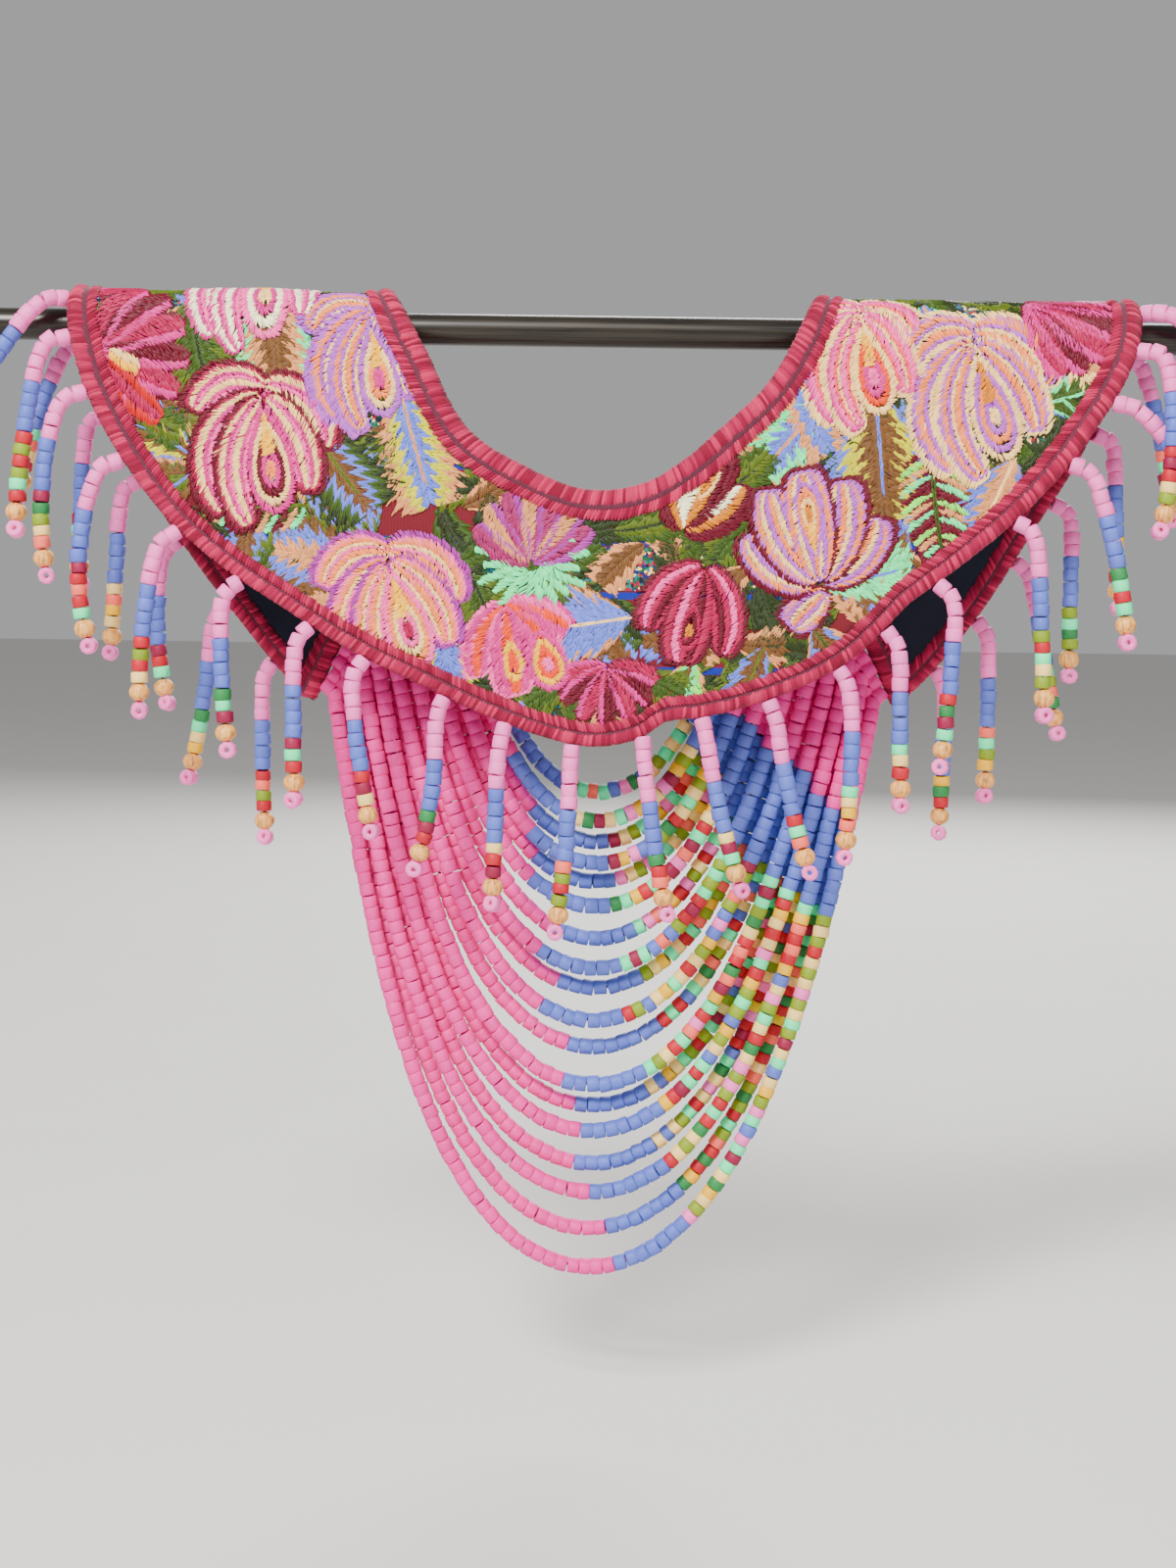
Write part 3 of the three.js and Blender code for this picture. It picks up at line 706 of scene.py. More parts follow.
def alongPath(path, distance):  # places and headings at distances along a path
    steps = np.linalg.norm(np.diff(path, axis=0), axis=1)
    length = np.concatenate([[0], np.cumsum(steps)])
    place, ahead, behind = (np.stack([np.interp(distance + shift, length, path[:, k]) for k in range(3)], -1)
                            for shift in (0.0, 0.5, -0.5))
    return place, unit(ahead - behind), length[-1]


class BeadRun:  # gathers beads of one unit before they are set
    def __init__(self):
        self.places, self.headings, self.sizes, self.tints = [], [], [], []

    def add(self, place, heading, length, across, tint):
        self.places.append(place)
        self.headings.append(heading)
        self.sizes.append((length, across, across))
        self.tints.append(hexToLinear(tint))

    def build(self, name, unitObject, material, seed):
        draw = np.random.default_rng(seed)
        count = len(self.places)
        x = unit(np.array(self.headings) + draw.normal(0, beadShape["tilt"], (count, 3)))
        y = unit(np.cross(x, unit(draw.normal(0, 1, (count, 3)))))
        sizes = np.array(self.sizes) * draw.uniform(0.96, 1.04, (count, 3)) * metre
        places = np.array(self.places) + draw.normal(0, beadShape["shift"], (count, 3))
        return setUnits(name, unitObject, material, places, (x, y, np.cross(x, y)), sizes,
                        np.array(self.tints), beadShape["spread"], seed)


fringeRows = {  # ring angle, heading at the root and at the tip, how far out it stands, length
    "front_fringe": [
        (-89, -40, -22, 9, 72), (-84, -14, -3, 5, 78), (-78, -21, 10, 4, 76), (-70, -24, 14, 3, 74),
        (-60, -14, 1, 3, 71), (-51, -2, 7, 2, 68), (-41, 0, 1, 3, 69), (-33, 4, 11, 2, 66),
        (-21.5, 6, -18, 3, 66), (-13, -2, -1, 4, 63), (-4, 0, -8, 2, 72), (5, 5, 12, 3, 62),
        (13, 7, 19, 3, 63), (22, 7, 18, 2, 66), (32, 5, -6, 3, 70), (40, 0, 2, 2, 69),
        (49, -2, -6, 3, 70), (61, 4, 3, 2, 75), (70, 20, 6, 3, 73),
        (78, 46, 26, 4, 72), (84, 12, -13, 9, 76), (89, 60, 34, 12, 70)],
    "left_fringe": [(-98, -30, -8, 4, 70), (-106, -8, 2, 3, 72), (-114, -3, -4, 2, 70),
                    (-122, -12, 14, 3, 68), (-131, -4, -12, 2, 70), (-139, 0, 2, 3, 70)],
    "right_fringe": [(98, 22, 6, 4, 70), (107, 2, 4, 3, 72), (116, 0, 1, 2, 72),
                     (124, 10, 12, 3, 70), (132, 2, -2, 2, 70), (139, 1, -3, 3, 68)],
}
strandShape = {"neckLength": 4.0, "turnLength": 3.5, "outLength": 14.0, "pinkBeads": 5, "blueBeads": 4,
               "ringRoom": 4.0, "ringDrop": 2.6, "gap": 0.12, "spare": 12, "stringStops": 14}


def strandPath(angle, heading, tip, out, length):  # walked down from its root in steps of a millimetre
    rootRadius = float(radiusAt(cut["hem"], angle)) + band["seam"] + band["strip"] / 2
    root, beyond = onRing(angle, rootRadius, 0.0), onRing(angle, rootRadius + 1, 0.0)
    leaving = math.degrees(math.atan2(beyond[0] - root[0], root[2] - beyond[2]))
    away = 1 if abs(angle) > 90 else -1
    x, y, z = root
    path = []
    for s in range(int(length) + strandShape["spare"]):
        hang = heading + (tip - heading) * min(s / length, 1.0)
        settle = 1 - math.exp(-max(s - strandShape["neckLength"], 0) / strandShape["turnLength"])
        turned = math.radians(leaving + (hang - leaving) * settle)
        path.append((x, y + away * out * (1 - math.exp(-s / strandShape["outLength"])), z))
        x += math.sin(turned)
        z -= math.cos(turned)
    return np.array(path)


def makeFringe(node, rows, seed):
    draw = random.Random(seed)
    tubes, balls, paths = BeadRun(), BeadRun(), []
    long, disc, wood, across = (beadShape[part] for part in ("length", "disc", "wood", "diameter"))
    top = ["pink"] * strandShape["pinkBeads"] + ["blue"] * strandShape["blueBeads"]
    for row in rows:
        path = strandPath(*row)
        at = beadShape["lead"]
        room = row[4] - at - len(top) * long - wood - strandShape["ringRoom"]
        colours = list(top)
        previous = None
        for _ in range(max(3, round(room / disc))):
            previous = draw.choice([c for c in mixedColours if c != previous])
            colours.append(previous)
        for k, colour in enumerate(colours):
            size = (long if k < len(top) else disc) * draw.uniform(0.93, 1.06)
            place, heading, _ = alongPath(path, at + size / 2)
            tubes.add(place, heading, size, across * draw.uniform(0.95, 1.04), beadColours[colour])
            at += size + strandShape["gap"]
        place, heading, _ = alongPath(path, at + wood / 2 - 0.3)
        balls.add(place, heading, wood * 0.92, wood, "#FFFFFF")
        at += wood - 0.4
        place, heading, _ = alongPath(path, at + strandShape["ringDrop"])
        sideways = unit(np.array([draw.uniform(-0.5, 0.5), -1.0, draw.uniform(-0.25, 0.25)]))
        tubes.add(place, sideways, long, across, beadColours["pink"])
        paths.append(alongPath(path, np.linspace(0, at + 2.0, strandShape["stringStops"]))[0])
    name = node.replace("_", " ").title().replace(" ", "")
    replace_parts(tubes.build(name + "Beads", tubeUnit, beadClay, seed), node)
    balls.build(name + "Balls", roundUnit, beech, seed + 1)
    return paths


threadPaths = []
for seed, (node, rows) in enumerate(fringeRows.items()):
    threadPaths += makeFringe(node, rows, 40 + 5 * seed)
print("fringe")

# The swag of bead strands between the two arms' ends
swag = {"outerRoot": 195.0, "innerRoot": 105.0, "lead": 5.0, "layerHalf": 3.5, "layerLength": 16.0,
        "lean": -0.014, "samples": 400, "split": 8, "rootReach": 0.7, "gap": 0.1, "stringHalf": 0.7,
        "blueRun": 30.0, "mixedRun": 55.0, "mixedSize": 0.86, "blueTop": (-228.0, -175.0),
        "pinkTop": (-188.0, -140.0),
        "lows": [-370, -356, -339, -329, -314, -305, -295, -281, -269, -257, -248, -237, -223, -214, -206,
                 -198, -189, -178],
        "pinkEnds": [6, 1, -4, -10, -6, -12, -17, -15, -23, -19, -25, -19, -29, -29, -29, -29, -35, -35]}


def catenary(left, right, low):  # its size, and the X of its lowest point
    span = right[0] - left[0]

    def halfSpan(size, height):
        return size * math.acosh(1 + (height - low) / size)

    small, large = 1.0, 10 * span
    for _ in range(60):
        size = (small + large) / 2
        if halfSpan(size, left[2]) + halfSpan(size, right[2]) < span:
            small = size
        else:
            large = size
    return small, left[0] + halfSpan(small, left[2])


def swagPath(i):
    radius = swag["outerRoot"] + (swag["innerRoot"] - swag["outerRoot"]) * i / (len(swag["lows"]) - 1)
    root = band["endWidth"] + 2 * band["seam"] + band["strip"] / 2
    (leftRoot, left), (rightRoot, right) = [
        [pastEnd(side, radius, root + beyond, 0.0) for beyond in (0.0, swag["lead"])] for side in (-1, 1)]
    low = swag["lows"][i]
    size, lowX = catenary(left, right, low)
    start, end = (size * math.sinh((p[0] - lowX) / size) for p in (left, right))
    s = np.linspace(start, end, swag["samples"])
    x = lowX + size * np.arcsinh(s / size)
    t = (x - left[0]) / (right[0] - left[0])
    layer = swag["layerHalf"] if i % 2 else -swag["layerHalf"]
    y = left[1] + (right[1] - left[1]) * t
    y = y + layer * smoothStep(np.minimum(s - start, end - s), -swag["lead"], swag["layerLength"])
    z = low + size * (np.cosh((x - lowX) / size) - 1)
    path = np.stack([x + swag["lean"] * (left[2] - z), y, z], -1)
    return np.concatenate([[leftRoot], path, [rightRoot]])


def makeSwag(name, strands, seed):
    draw = random.Random(seed)
    tubes, paths = BeadRun(), []
    reach, lead = swag["rootReach"], swag["lead"]
    for i in strands:
        path = swagPath(i)
        share = i / (len(swag["lows"]) - 1)
        blueTop, pinkTop = (a + (b - a) * share for a, b in (swag["blueTop"], swag["pinkTop"]))
        _, _, whole = alongPath(path, 0.0)
        at, run = -reach, []
        blueStart, mixedRun, previous = None, 0.0, None
        while at + beadShape["length"] < whole + reach:
            long = beadShape["length"] * draw.uniform(0.94, 1.05)
            place = alongPath(path, at + long / 2)[0]
            if place[0] < swag["pinkEnds"][i]:
                colour = "swagPink"
            else:
                blueStart = at if blueStart is None else blueStart
                if at - blueStart < swag["blueRun"]:
                    colour = "blue"
                elif place[2] < blueTop or mixedRun < swag["mixedRun"]:
                    previous = colour = draw.choice([c for c in mixedColours + swagColours if c != previous])
                    long *= swag["mixedSize"]
                    mixedRun += long
                else:
                    colour = "blue" if place[2] < pinkTop else "swagPink"
            across = beadShape["diameter"] * draw.uniform(0.95, 1.04)
            run.append((at + long / 2, long, across, beadColours[colour]))
            at += long + swag["gap"]
        stretch = (whole + 2 * reach) / (at + reach)  # the beads fill the strand end to end
        for middle, long, across, tint in run:
            place, heading, _ = alongPath(path, (middle + reach) * stretch - reach)
            tubes.add(place, heading, long * stretch, across, tint)
        bends = np.linspace(lead, whole - lead, 40)
        paths.append(alongPath(path, np.concatenate([[0, lead / 2], bends, [whole - lead / 2, whole]]))[0])
    return tubes.build(name, tubeUnit, beadClay, seed), paths


swagOuter, outerPaths = makeSwag("swagLowerBeads", range(swag["split"]), 71)
_, innerPaths = makeSwag("swagUpperBeads", range(swag["split"], len(swag["lows"])), 72)
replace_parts(swagOuter, "bead_swag")
cordColours = [(0.3, "#9A2A5C"), (0.7, "#C0447C")]
waxedCord = mottled("waxedPolyesterCord", 0.6, 1500.0, cordColours)  # the cord the beads are strung on
for name, paths, radius in (("beadStrings", threadPaths, beadShape["threadHalf"]),
                            ("swagStrings", outerPaths + innerPaths, swag["stringHalf"])):
    faceOutwards(newPiece(name, *sweep(paths, 5, radius), waxedCord, "beads"))
print("swag")

# The embroidery: rows of short floss stitches laid on the flat cut
floss = {
    "cream": "#F0C478", "white": "#F4ECC0", "peach": "#EC7E42", "palePink": "#F0509A",
    "pink": "#CA1E7C", "magenta": "#A00040", "maroon": "#5C001A", "red": "#B4020A",
    "salmon": "#F04450", "orange": "#E03A04", "lilac": "#AC50B8", "purple": "#9A2A8C",
    "mauve": "#942058", "yellow": "#F2B000", "gold": "#C87404", "lime": "#C2BA00", "olive": "#4E5E08",
    "green": "#344A0A", "darkGreen": "#222E0A", "mint": "#44E48C", "paleGreen": "#7CE44C",
    "blue": "#5E6ECA", "brown": "#68421C", "tan": "#CE8852",
}
needle = {"pitch": 0.62, "width": 0.78, "height": 0.64, "longest": 5.2, "shortest": 0.9, "jitter": 0.17,
          "cell": 0.5, "reach": 250.0, "aside": 0.25, "margin": 1.3, "tipMargin": 2.0, "shade": 0.19,
          "levelStep": 0.0035, "sameLevel": 0.05, "ragged": 0.28, "edge": 0.9, "petalStep": 0.12,
          "bandReach": 2.4, "pressed": 0.28, "motifStep": 0.11, "motifSpan": 0.4, "orderLift": 0.25,
          "overlap": 0.35, "sink": 0.1, "tipPull": 0.4}


class StitchBook:  # gathers stitches motif by motif, and later drops those that lie hidden
    def __init__(self, seed):
        self.draw = np.random.default_rng(seed)
        self.runs = []
        self.base = 0.0

    def startMotif(self):  # a motif lies a little above the one before it
        self.base = (self.base + needle["motifStep"]) % needle["motifSpan"]

    def lay(self, start, end, colour, level):
        start, end = np.atleast_2d(start), np.atleast_2d(end)
        length = np.linalg.norm(end - start, axis=1)
        keep = length > needle["shortest"]
        start, end, length = start[keep], end[keep], length[keep]
        while len(start) and length.max() > needle["longest"]:  # long ones are broken at uneven places
            long = length > needle["longest"]
            share = self.draw.uniform(0.4, 0.6, (int(long.sum()), 1))
            middle = start[long] + (end[long] - start[long]) * share
            start = np.concatenate([start[~long], start[long], middle])
            end = np.concatenate([end[~long], middle, end[long]])
            length = np.linalg.norm(end - start, axis=1)
        if not len(start):
            return
        wobble = self.draw.normal(0, needle["jitter"], (2,) + start.shape)
        self.runs.append((start + wobble[0], end + wobble[1], colour, level, self.base))

    def finish(self):
        start, end = (np.concatenate([run[k] for run in self.runs]) for k in (0, 1))
        sizes = [len(run[0]) for run in self.runs]
        order = np.repeat(np.arange(len(self.runs)), sizes)
        height = np.repeat([run[3] + run[4] for run in self.runs], sizes)
        height = height + needle["orderLift"] * order / len(self.runs)
        level = np.repeat([run[3] for run in self.runs], sizes) + needle["levelStep"] * order
        tint = np.array([hexToLinear(floss[run[2]]) for run in self.runs])[order]

        def cellOf(share, aside=0.0):
            spot = start + (end - start) * share + aside
            return tuple(np.floor((spot + needle["reach"]) / needle["cell"]).astype(int).T)

        rank = np.argsort(level, kind="stable")
        place = np.empty(len(rank), int)
        place[rank] = np.arange(len(rank))
        top = np.full((int(2 * needle["reach"] / needle["cell"]),) * 2, -1)  # the topmost stitch of each cell
        along = unit(end - start)
        side = np.stack([-along[:, 1], along[:, 0]], -1) * needle["aside"]
        for share in np.linspace(0.05, 0.95, 9):
            for shift in (-1, 1):
                np.maximum.at(top, cellOf(share, side * shift), place)
        seen = sum((level[rank[top[cellOf(share)]]] - level < needle["sameLevel"]).astype(int)
                   for share in (0.15, 0.32, 0.5, 0.68, 0.85))
        keep = (seen > 0) & insideCut((start + end) / 2, needle["margin"])
        start, end, tint, height = start[keep], end[keep], tint[keep], height[keep]
        middle = (start + end) / 2
        byBand = ~insideCut(middle, -needle["bandReach"])  # pressed down where the band's edge stitches cross
        height[byBand] = np.minimum(height[byBand], needle["pressed"])
        for tip in (start, end):
            far = ~insideCut(tip, needle["tipMargin"])
            tip[far] = middle[far] + (tip[far] - middle[far]) * needle["tipPull"]
        return start, end, tint, height


def insideCut(points, margin):  # between the bands, or under them by no more than the margin
    x, y = points[:, 0], points[:, 1] - cut["ringCentre"]
    radius = np.hypot(x, y)
    turned = np.degrees(np.arctan2(x, y))
    angle = turned.copy()
    for _ in range(4):
        angle = turned + np.sign(turned) * askewAt(angle, radius)
    inner = radiusAt(cut["neck"], angle) + band["neckWidth"] - margin
    outer = radiusAt(cut["hem"], angle) - hemBandWidth(angle) + margin
    return (radius > inner) & (radius < outer) & (np.abs(angle) < cut["endAngle"] + 0.2)


book = StitchBook(5)


class Path:  # a smooth line on the flat cut, with places beside it
    def __init__(self, points):
        self.points = np.asarray(points, float)
        steps = np.linalg.norm(np.diff(self.points, axis=0), axis=1)
        self.marks = np.concatenate([[0], np.cumsum(steps)])
        self.length = self.marks[-1]
        tangent = unit(np.gradient(self.points, axis=0))
        self.sides = np.stack([-tangent[:, 1], tangent[:, 0]], -1)

    def at(self, share, aside):
        mark = np.clip(share, 0, 1) * self.length
        place, side = (np.stack([np.interp(mark, self.marks, table[:, k]) for k in range(2)], -1)
                       for table in (self.points, self.sides))
        return place + side * np.asarray(aside)[:, None]


def bowed(base, tip, bend):  # a curve from base to tip, bent to one side by a share of its length
    base, tip = np.array(base, float), np.array(tip, float)
    run = tip - base
    middle = (base + tip) / 2 + np.array([-run[1], run[0]]) * bend
    t = np.linspace(0, 1, 40)[:, None]
    return Path((1 - t)**2 * base + 2 * t * (1 - t) * middle + t**2 * tip)


def bulge(t, rise, fall):  # from nothing at both ends to one at its widest
    widest = rise / (rise + fall)
    return (t**rise * (1 - t)**fall) / (widest**rise * (1 - widest)**fall)


def fillStripes(path, halfAt, stripes, slant, level, merged=True):  # merged: like neighbours are one stripe
    count = max(3, int(path.length / needle["pitch"]))
    t = (np.arange(count) + 0.5) / count
    half = halfAt(t)
    starts = [k for k, colour in enumerate(stripes) if k == 0 or not merged or colour != stripes[k - 1]]
    edges = -1 + 2 * np.array(starts + [len(stripes)]) / len(stripes)
    for low, high, k in zip(edges, edges[1:], starts):
        t2 = np.clip(t + slant * (high - low) * half / path.length, 0, 1)
        ragged = book.draw.normal(0, needle["ragged"], (2, count)) / np.maximum(half, 1.0)
        book.lay(path.at(t, (low + ragged[0]) * half), path.at(t2, (high + ragged[1]) * half),
                 stripes[k], level)


def petal(base, tip, bend, half, stripes, rim=None, rimWidth=1.7, level=0.45, rise=0.42, fall=0.36,
          slant=0.75, edge=None):
    run = unit(np.array(tip, float) - np.array(base, float))
    for colour, wide, below in ((rim, rimWidth, 0.2), (edge, needle["edge"], 0.06)):
        if colour:
            outer = bowed(np.array(base) - run * wide * 0.4, np.array(tip) + run * wide, bend)
            fillStripes(outer, lambda t: half * bulge(t, rise, fall) + wide * np.sqrt(1 - (2 * t - 1)**8),
                        [colour] * 4, slant, level - below, merged=False)
    inner = bowed(base, tip, bend)
    fillStripes(inner, lambda t: half * bulge(t, rise, fall) + 0.2, stripes, slant, level)


heartShape = {"middle": 0.6, "pinch": 0.7, "seam": 0.04, "points": 90, "ringHalf": 0.56, "ringStep": 0.02,
              "slant": 0.6, "wedgeFrom": 0.06, "wedgeTo": 0.46, "wedgeHalf": 0.25, "wedgeLift": 0.14}


def heart(base, tip, half, rings, wedge, level=0.6):  # nested drops of floss, with a wedge at the top
    base, tip = np.array(base, float), np.array(tip, float)
    run = tip - base
    size = float(np.linalg.norm(run))
    down = run / size
    right = np.array([down[1], -down[0]])
    middle = base + run * heartShape["middle"]
    thick = half / (len(rings) + 0.2)
    phase = np.linspace(heartShape["seam"], 2 * np.pi - heartShape["seam"], heartShape["points"])
    outline = (base + np.outer(half * np.sin(phase) * np.sin(phase / 2)**heartShape["pinch"], right)
               + np.outer(size * (1 - np.cos(phase)) / 2, down))
    for k, colour in enumerate(rings):
        scale = 1 - (k + 0.5) * thick / half
        ring = Path(middle + (outline - middle) * scale)
        fillStripes(ring, constant(thick * heartShape["ringHalf"]), [colour], heartShape["slant"],
                    level + heartShape["ringStep"] * k)
    if wedge:
        path = bowed(base + run * heartShape["wedgeFrom"], base + run * heartShape["wedgeTo"], 0.0)
        fillStripes(path, lambda t: heartShape["wedgeHalf"] * half * bulge(t, 0.9, 0.25) + 0.2, [wedge], 0.9,
                    level + heartShape["wedgeLift"])


stemStitch = {"lane": 0.7, "pitch": 2.4, "long": 3.4, "spare": 1.5}  # back stitches in side by side lanes


def stem(path, width, colour, level=0.3, first=0.0, last=1.0):
    lanes, pitch = max(1, round(width / stemStitch["lane"])), stemStitch["pitch"]
    for lane in range(lanes):
        mark = np.arange(first * path.length + (lane % 2) * pitch / 2,
                         last * path.length - stemStitch["spare"], pitch)
        aside = np.full(len(mark), (lane - (lanes - 1) / 2) * width / lanes)
        book.lay(path.at(mark / path.length, aside),
                 path.at((mark + stemStitch["long"]) / path.length, aside), colour, level)


leafShape = {"tooth": 5.0, "jag": 0.28, "lean": 0.85, "rise": 0.5, "fall": 0.55, "uneven": 0.035}


def leaf(base, tip, bend, half, zones, rib=None, level=0.2):  # zones of colour from the rib to a toothed edge
    book.startMotif()
    path = bowed(base, tip, bend)
    count = max(6, int(path.length / (needle["pitch"] * 1.05)))
    t = 0.01 + 0.95 * (np.arange(count) + 0.5) / count
    reach = half * bulge(t, leafShape["rise"], leafShape["fall"]) + 0.5
    lean = leafShape["lean"] * reach / path.length
    edges = np.linspace(0, 1, len(zones) + 1)
    for side in (-1, 1):
        saw = np.abs(((t * path.length / leafShape["tooth"] + 0.25 * side) % 1) * 2 - 1) - 0.5
        ragged = leafShape["jag"] * saw + book.draw.normal(0, leafShape["uneven"], count)
        for k, colour in enumerate(zones):
            near = edges[k] + (ragged if k else 0)
            far = edges[k + 1] + ragged * (1.5 if k == len(zones) - 1 else 1.0) + 0.04
            book.lay(path.at(t + lean * near, side * reach * near),
                     path.at(t + lean * far, side * reach * far), colour, level)
    if rib:
        stem(path, 1.3, rib, level + 0.12, 0.0, 0.8)


fernShape = {"pitch": 3.4, "backHalf": 0.72, "backDrop": 0.12, "from": 0.04, "run": 0.9, "lean": 0.55,
             "root": 0.4, "bend": 0.12, "leafHalf": 0.95, "ribWidth": 1.6, "ribLift": 0.15}


def fern(base, tip, bend, half, colours, back, rib, level=0.25):  # small leaves in pairs along a rib
    book.startMotif()
    path = bowed(base, tip, bend)
    if back:
        fillStripes(path, lambda t: half * fernShape["backHalf"] * bulge(t, 0.35, 0.5), [back, back], 0.8,
                    level - fernShape["backDrop"])
    pairs = int(path.length / fernShape["pitch"])
    for k in range(pairs):
        t = fernShape["from"] + fernShape["run"] * k / pairs
        reach = half * float(bulge(np.array(t + 0.08), 0.3, 0.6))
        for side in (-1, 1):
            start = path.at(np.array([t]), np.array([fernShape["root"] * side]))[0]
            far = t + reach * fernShape["lean"] / path.length
            end = path.at(np.array([far]), np.array([side * reach]))[0]
            colour = colours[(k + (side > 0)) % len(colours)]
            petal(start, end, fernShape["bend"] * side, fernShape["leafHalf"], [colour], level=level,
                  slant=0.9)
    stem(path, fernShape["ribWidth"], rib, level + fernShape["ribLift"])


def turnedSpot(u, v, heading, size):  # places in a motif's own frame: x to its right, y the way it points
    turn = math.radians(heading)
    right, forward = np.array([math.cos(turn), -math.sin(turn)]), np.array([math.sin(turn), math.cos(turn)])
    return lambda x, y: np.array([u, v]) + size * (x * right + y * forward)


roses = {  # petals: base, tip, bend and half width, in sizes; stripes: 0 pale, 1 deep, 2 between
    "hanging": {"petals": [((0.03, -0.16), (-0.62, 0.04), 0.5, 0.13),
                           ((0.02, -0.17), (0.56, 0.42), -0.42, 0.16),
                           ((-0.02, -0.08), (-0.36, 0.98), 0.5, 0.165),
                           ((0.04, -0.06), (0.42, 0.8), -0.24, 0.14),
                           ((-0.02, -0.04), (-0.14, 1.12), 0.36, 0.13)],
                "stripes": (2, 1, 0, 0, 2, 1, 0, 0), "rimWidth": 2.4, "rise": 0.42,
                "heart": ((0.0, 0.0), (0.12, 1.04), 0.26)},
    "fan": {"petals": [((-0.05, -0.1), (0.34, -0.36), 0.05, 0.16), ((-0.04, 0.0), (-0.62, 0.5), 0.24, 0.19),
                       ((0.04, 0.0), (0.58, 0.56), -0.24, 0.19), ((-0.03, 0.02), (-0.36, 0.9), 0.2, 0.19),
                       ((0.03, 0.02), (0.34, 0.94), -0.2, 0.19), ((0.0, 0.02), (0.0, 1.06), 0.0, 0.21)],
            "stripes": (0, 2, 1, 0, 2, 1, 0), "rimWidth": 2.6, "rise": 0.5,
            "heart": ((0, 0.2), (0, 1.0), 0.16)},
}


def rose(kind, u, v, heading, size, tones, edge, rim, rings, wedge="yellow", level=0.45):
    book.startMotif()
    spot, shape, hanging = turnedSpot(u, v, heading, size), roses[kind], kind == "hanging"
    if hanging:  # a petal under the others closes the gap between them
        petal(spot(0, -0.2), spot(0.02, 0.6), 0, 0.22 * size, [tones[1], tones[0]], level=level - 0.1)
    for base, tip, bend, half in shape["petals"]:
        stripes = [tones[k] for k in shape["stripes"]]
        petal(spot(*base), spot(*tip), bend, half * size, stripes[::-1] if hanging and bend <= 0 else stripes,
              rim, shape["rimWidth"], level, rise=shape["rise"], edge=edge)
        level += needle["petalStep"]
    base, tip, half = shape["heart"]
    heart(spot(*base), spot(*tip), half * size, rings, wedge, level)


def bud(u, v, heading, size, colours, rim, core, level=0.45):
    book.startMotif()
    spot = turnedSpot(u, v, heading, size)
    petal(spot(-0.02, 0), spot(-0.42, 0.78), 0.3, 0.17 * size, colours, rim, 1.5, level)
    petal(spot(0.02, 0), spot(0.42, 0.84), -0.3, 0.17 * size, colours[::-1], rim, 1.5, level + 0.12)
    petal(spot(0, 0.05), spot(0.02, 1.04), 0.06, 0.24 * size, colours, rim, 1.5, level + 0.24, rise=0.5)
    heart(spot(0, 0.36), spot(0.02, 0.94), 0.14 * size, core, None, level + 0.36)


def fanFlower(u, v, heading, size, colours, spreadAngle, sepals=None, level=0.42):
    book.startMotif()
    if sepals:
        for k in range(15):
            turn = heading + 180 + (k - 7) * 17
            reach = size * (0.6 + 0.13 * (k % 2))
            spot = turnedSpot(u, v, turn, 1.0)
            petal(spot(0, size * 0.1), spot(0, reach), 0.05, 1.3, [sepals], level=level - 0.05, slant=1.0)
    rim = "maroon" if colours[0] == "magenta" else None
    for k in range(7):
        away = (k - 3) / 3
        spot = turnedSpot(u, v, heading + spreadAngle * away, size * (1 - 0.12 * away * away))
        stripes = [colours[k % 2], colours[k % 2], colours[2]]
        petal(spot(0, 0.02), spot(0, 0.95), -0.2 * away, 0.14 * size, stripes, rim, 0.9,
              level + 0.02 * (3 - abs(k - 3)), slant=1.1)


# Under everything: small leaves that fill between the motifs. Some of the striped ground stays bare.
filling = {"spacing": 15.0, "shift": 4.0, "long": 23.0, "half": 6.5, "margin": 6.0,
           "bare": [(-72, 86, 13), (66, 88, 7), (122, 108, 9), (-40, 104, 6)],
           "mixes": [["darkGreen", "green"], ["green", "darkGreen"], ["brown", "tan"], ["green", "olive"],
                     ["brown", "blue"], ["darkGreen", "darkGreen"], ["tan", "brown"], ["darkGreen", "olive"]]}
reachOut = np.arange(-205, 206, filling["spacing"])
for gridU in reachOut:
    for gridV in reachOut:
        u, v = (grid + book.draw.uniform(-filling["shift"], filling["shift"]) for grid in (gridU, gridV))
        turn, mix = book.draw.uniform(0, 360), int(book.draw.integers(len(filling["mixes"])))
        long = filling["long"] * book.draw.uniform(0.8, 1.2)
        inside = insideCut(np.array([[u, v]]), filling["margin"])[0]
        if inside and all(math.hypot(u - a, v - b) >= r for a, b, r in filling["bare"]):
            spot = turnedSpot(u, v, turn, long)
            leaf(spot(0, -0.5), spot(0, 0.5), 0.1, filling["half"], filling["mixes"][mix], level=0.05)

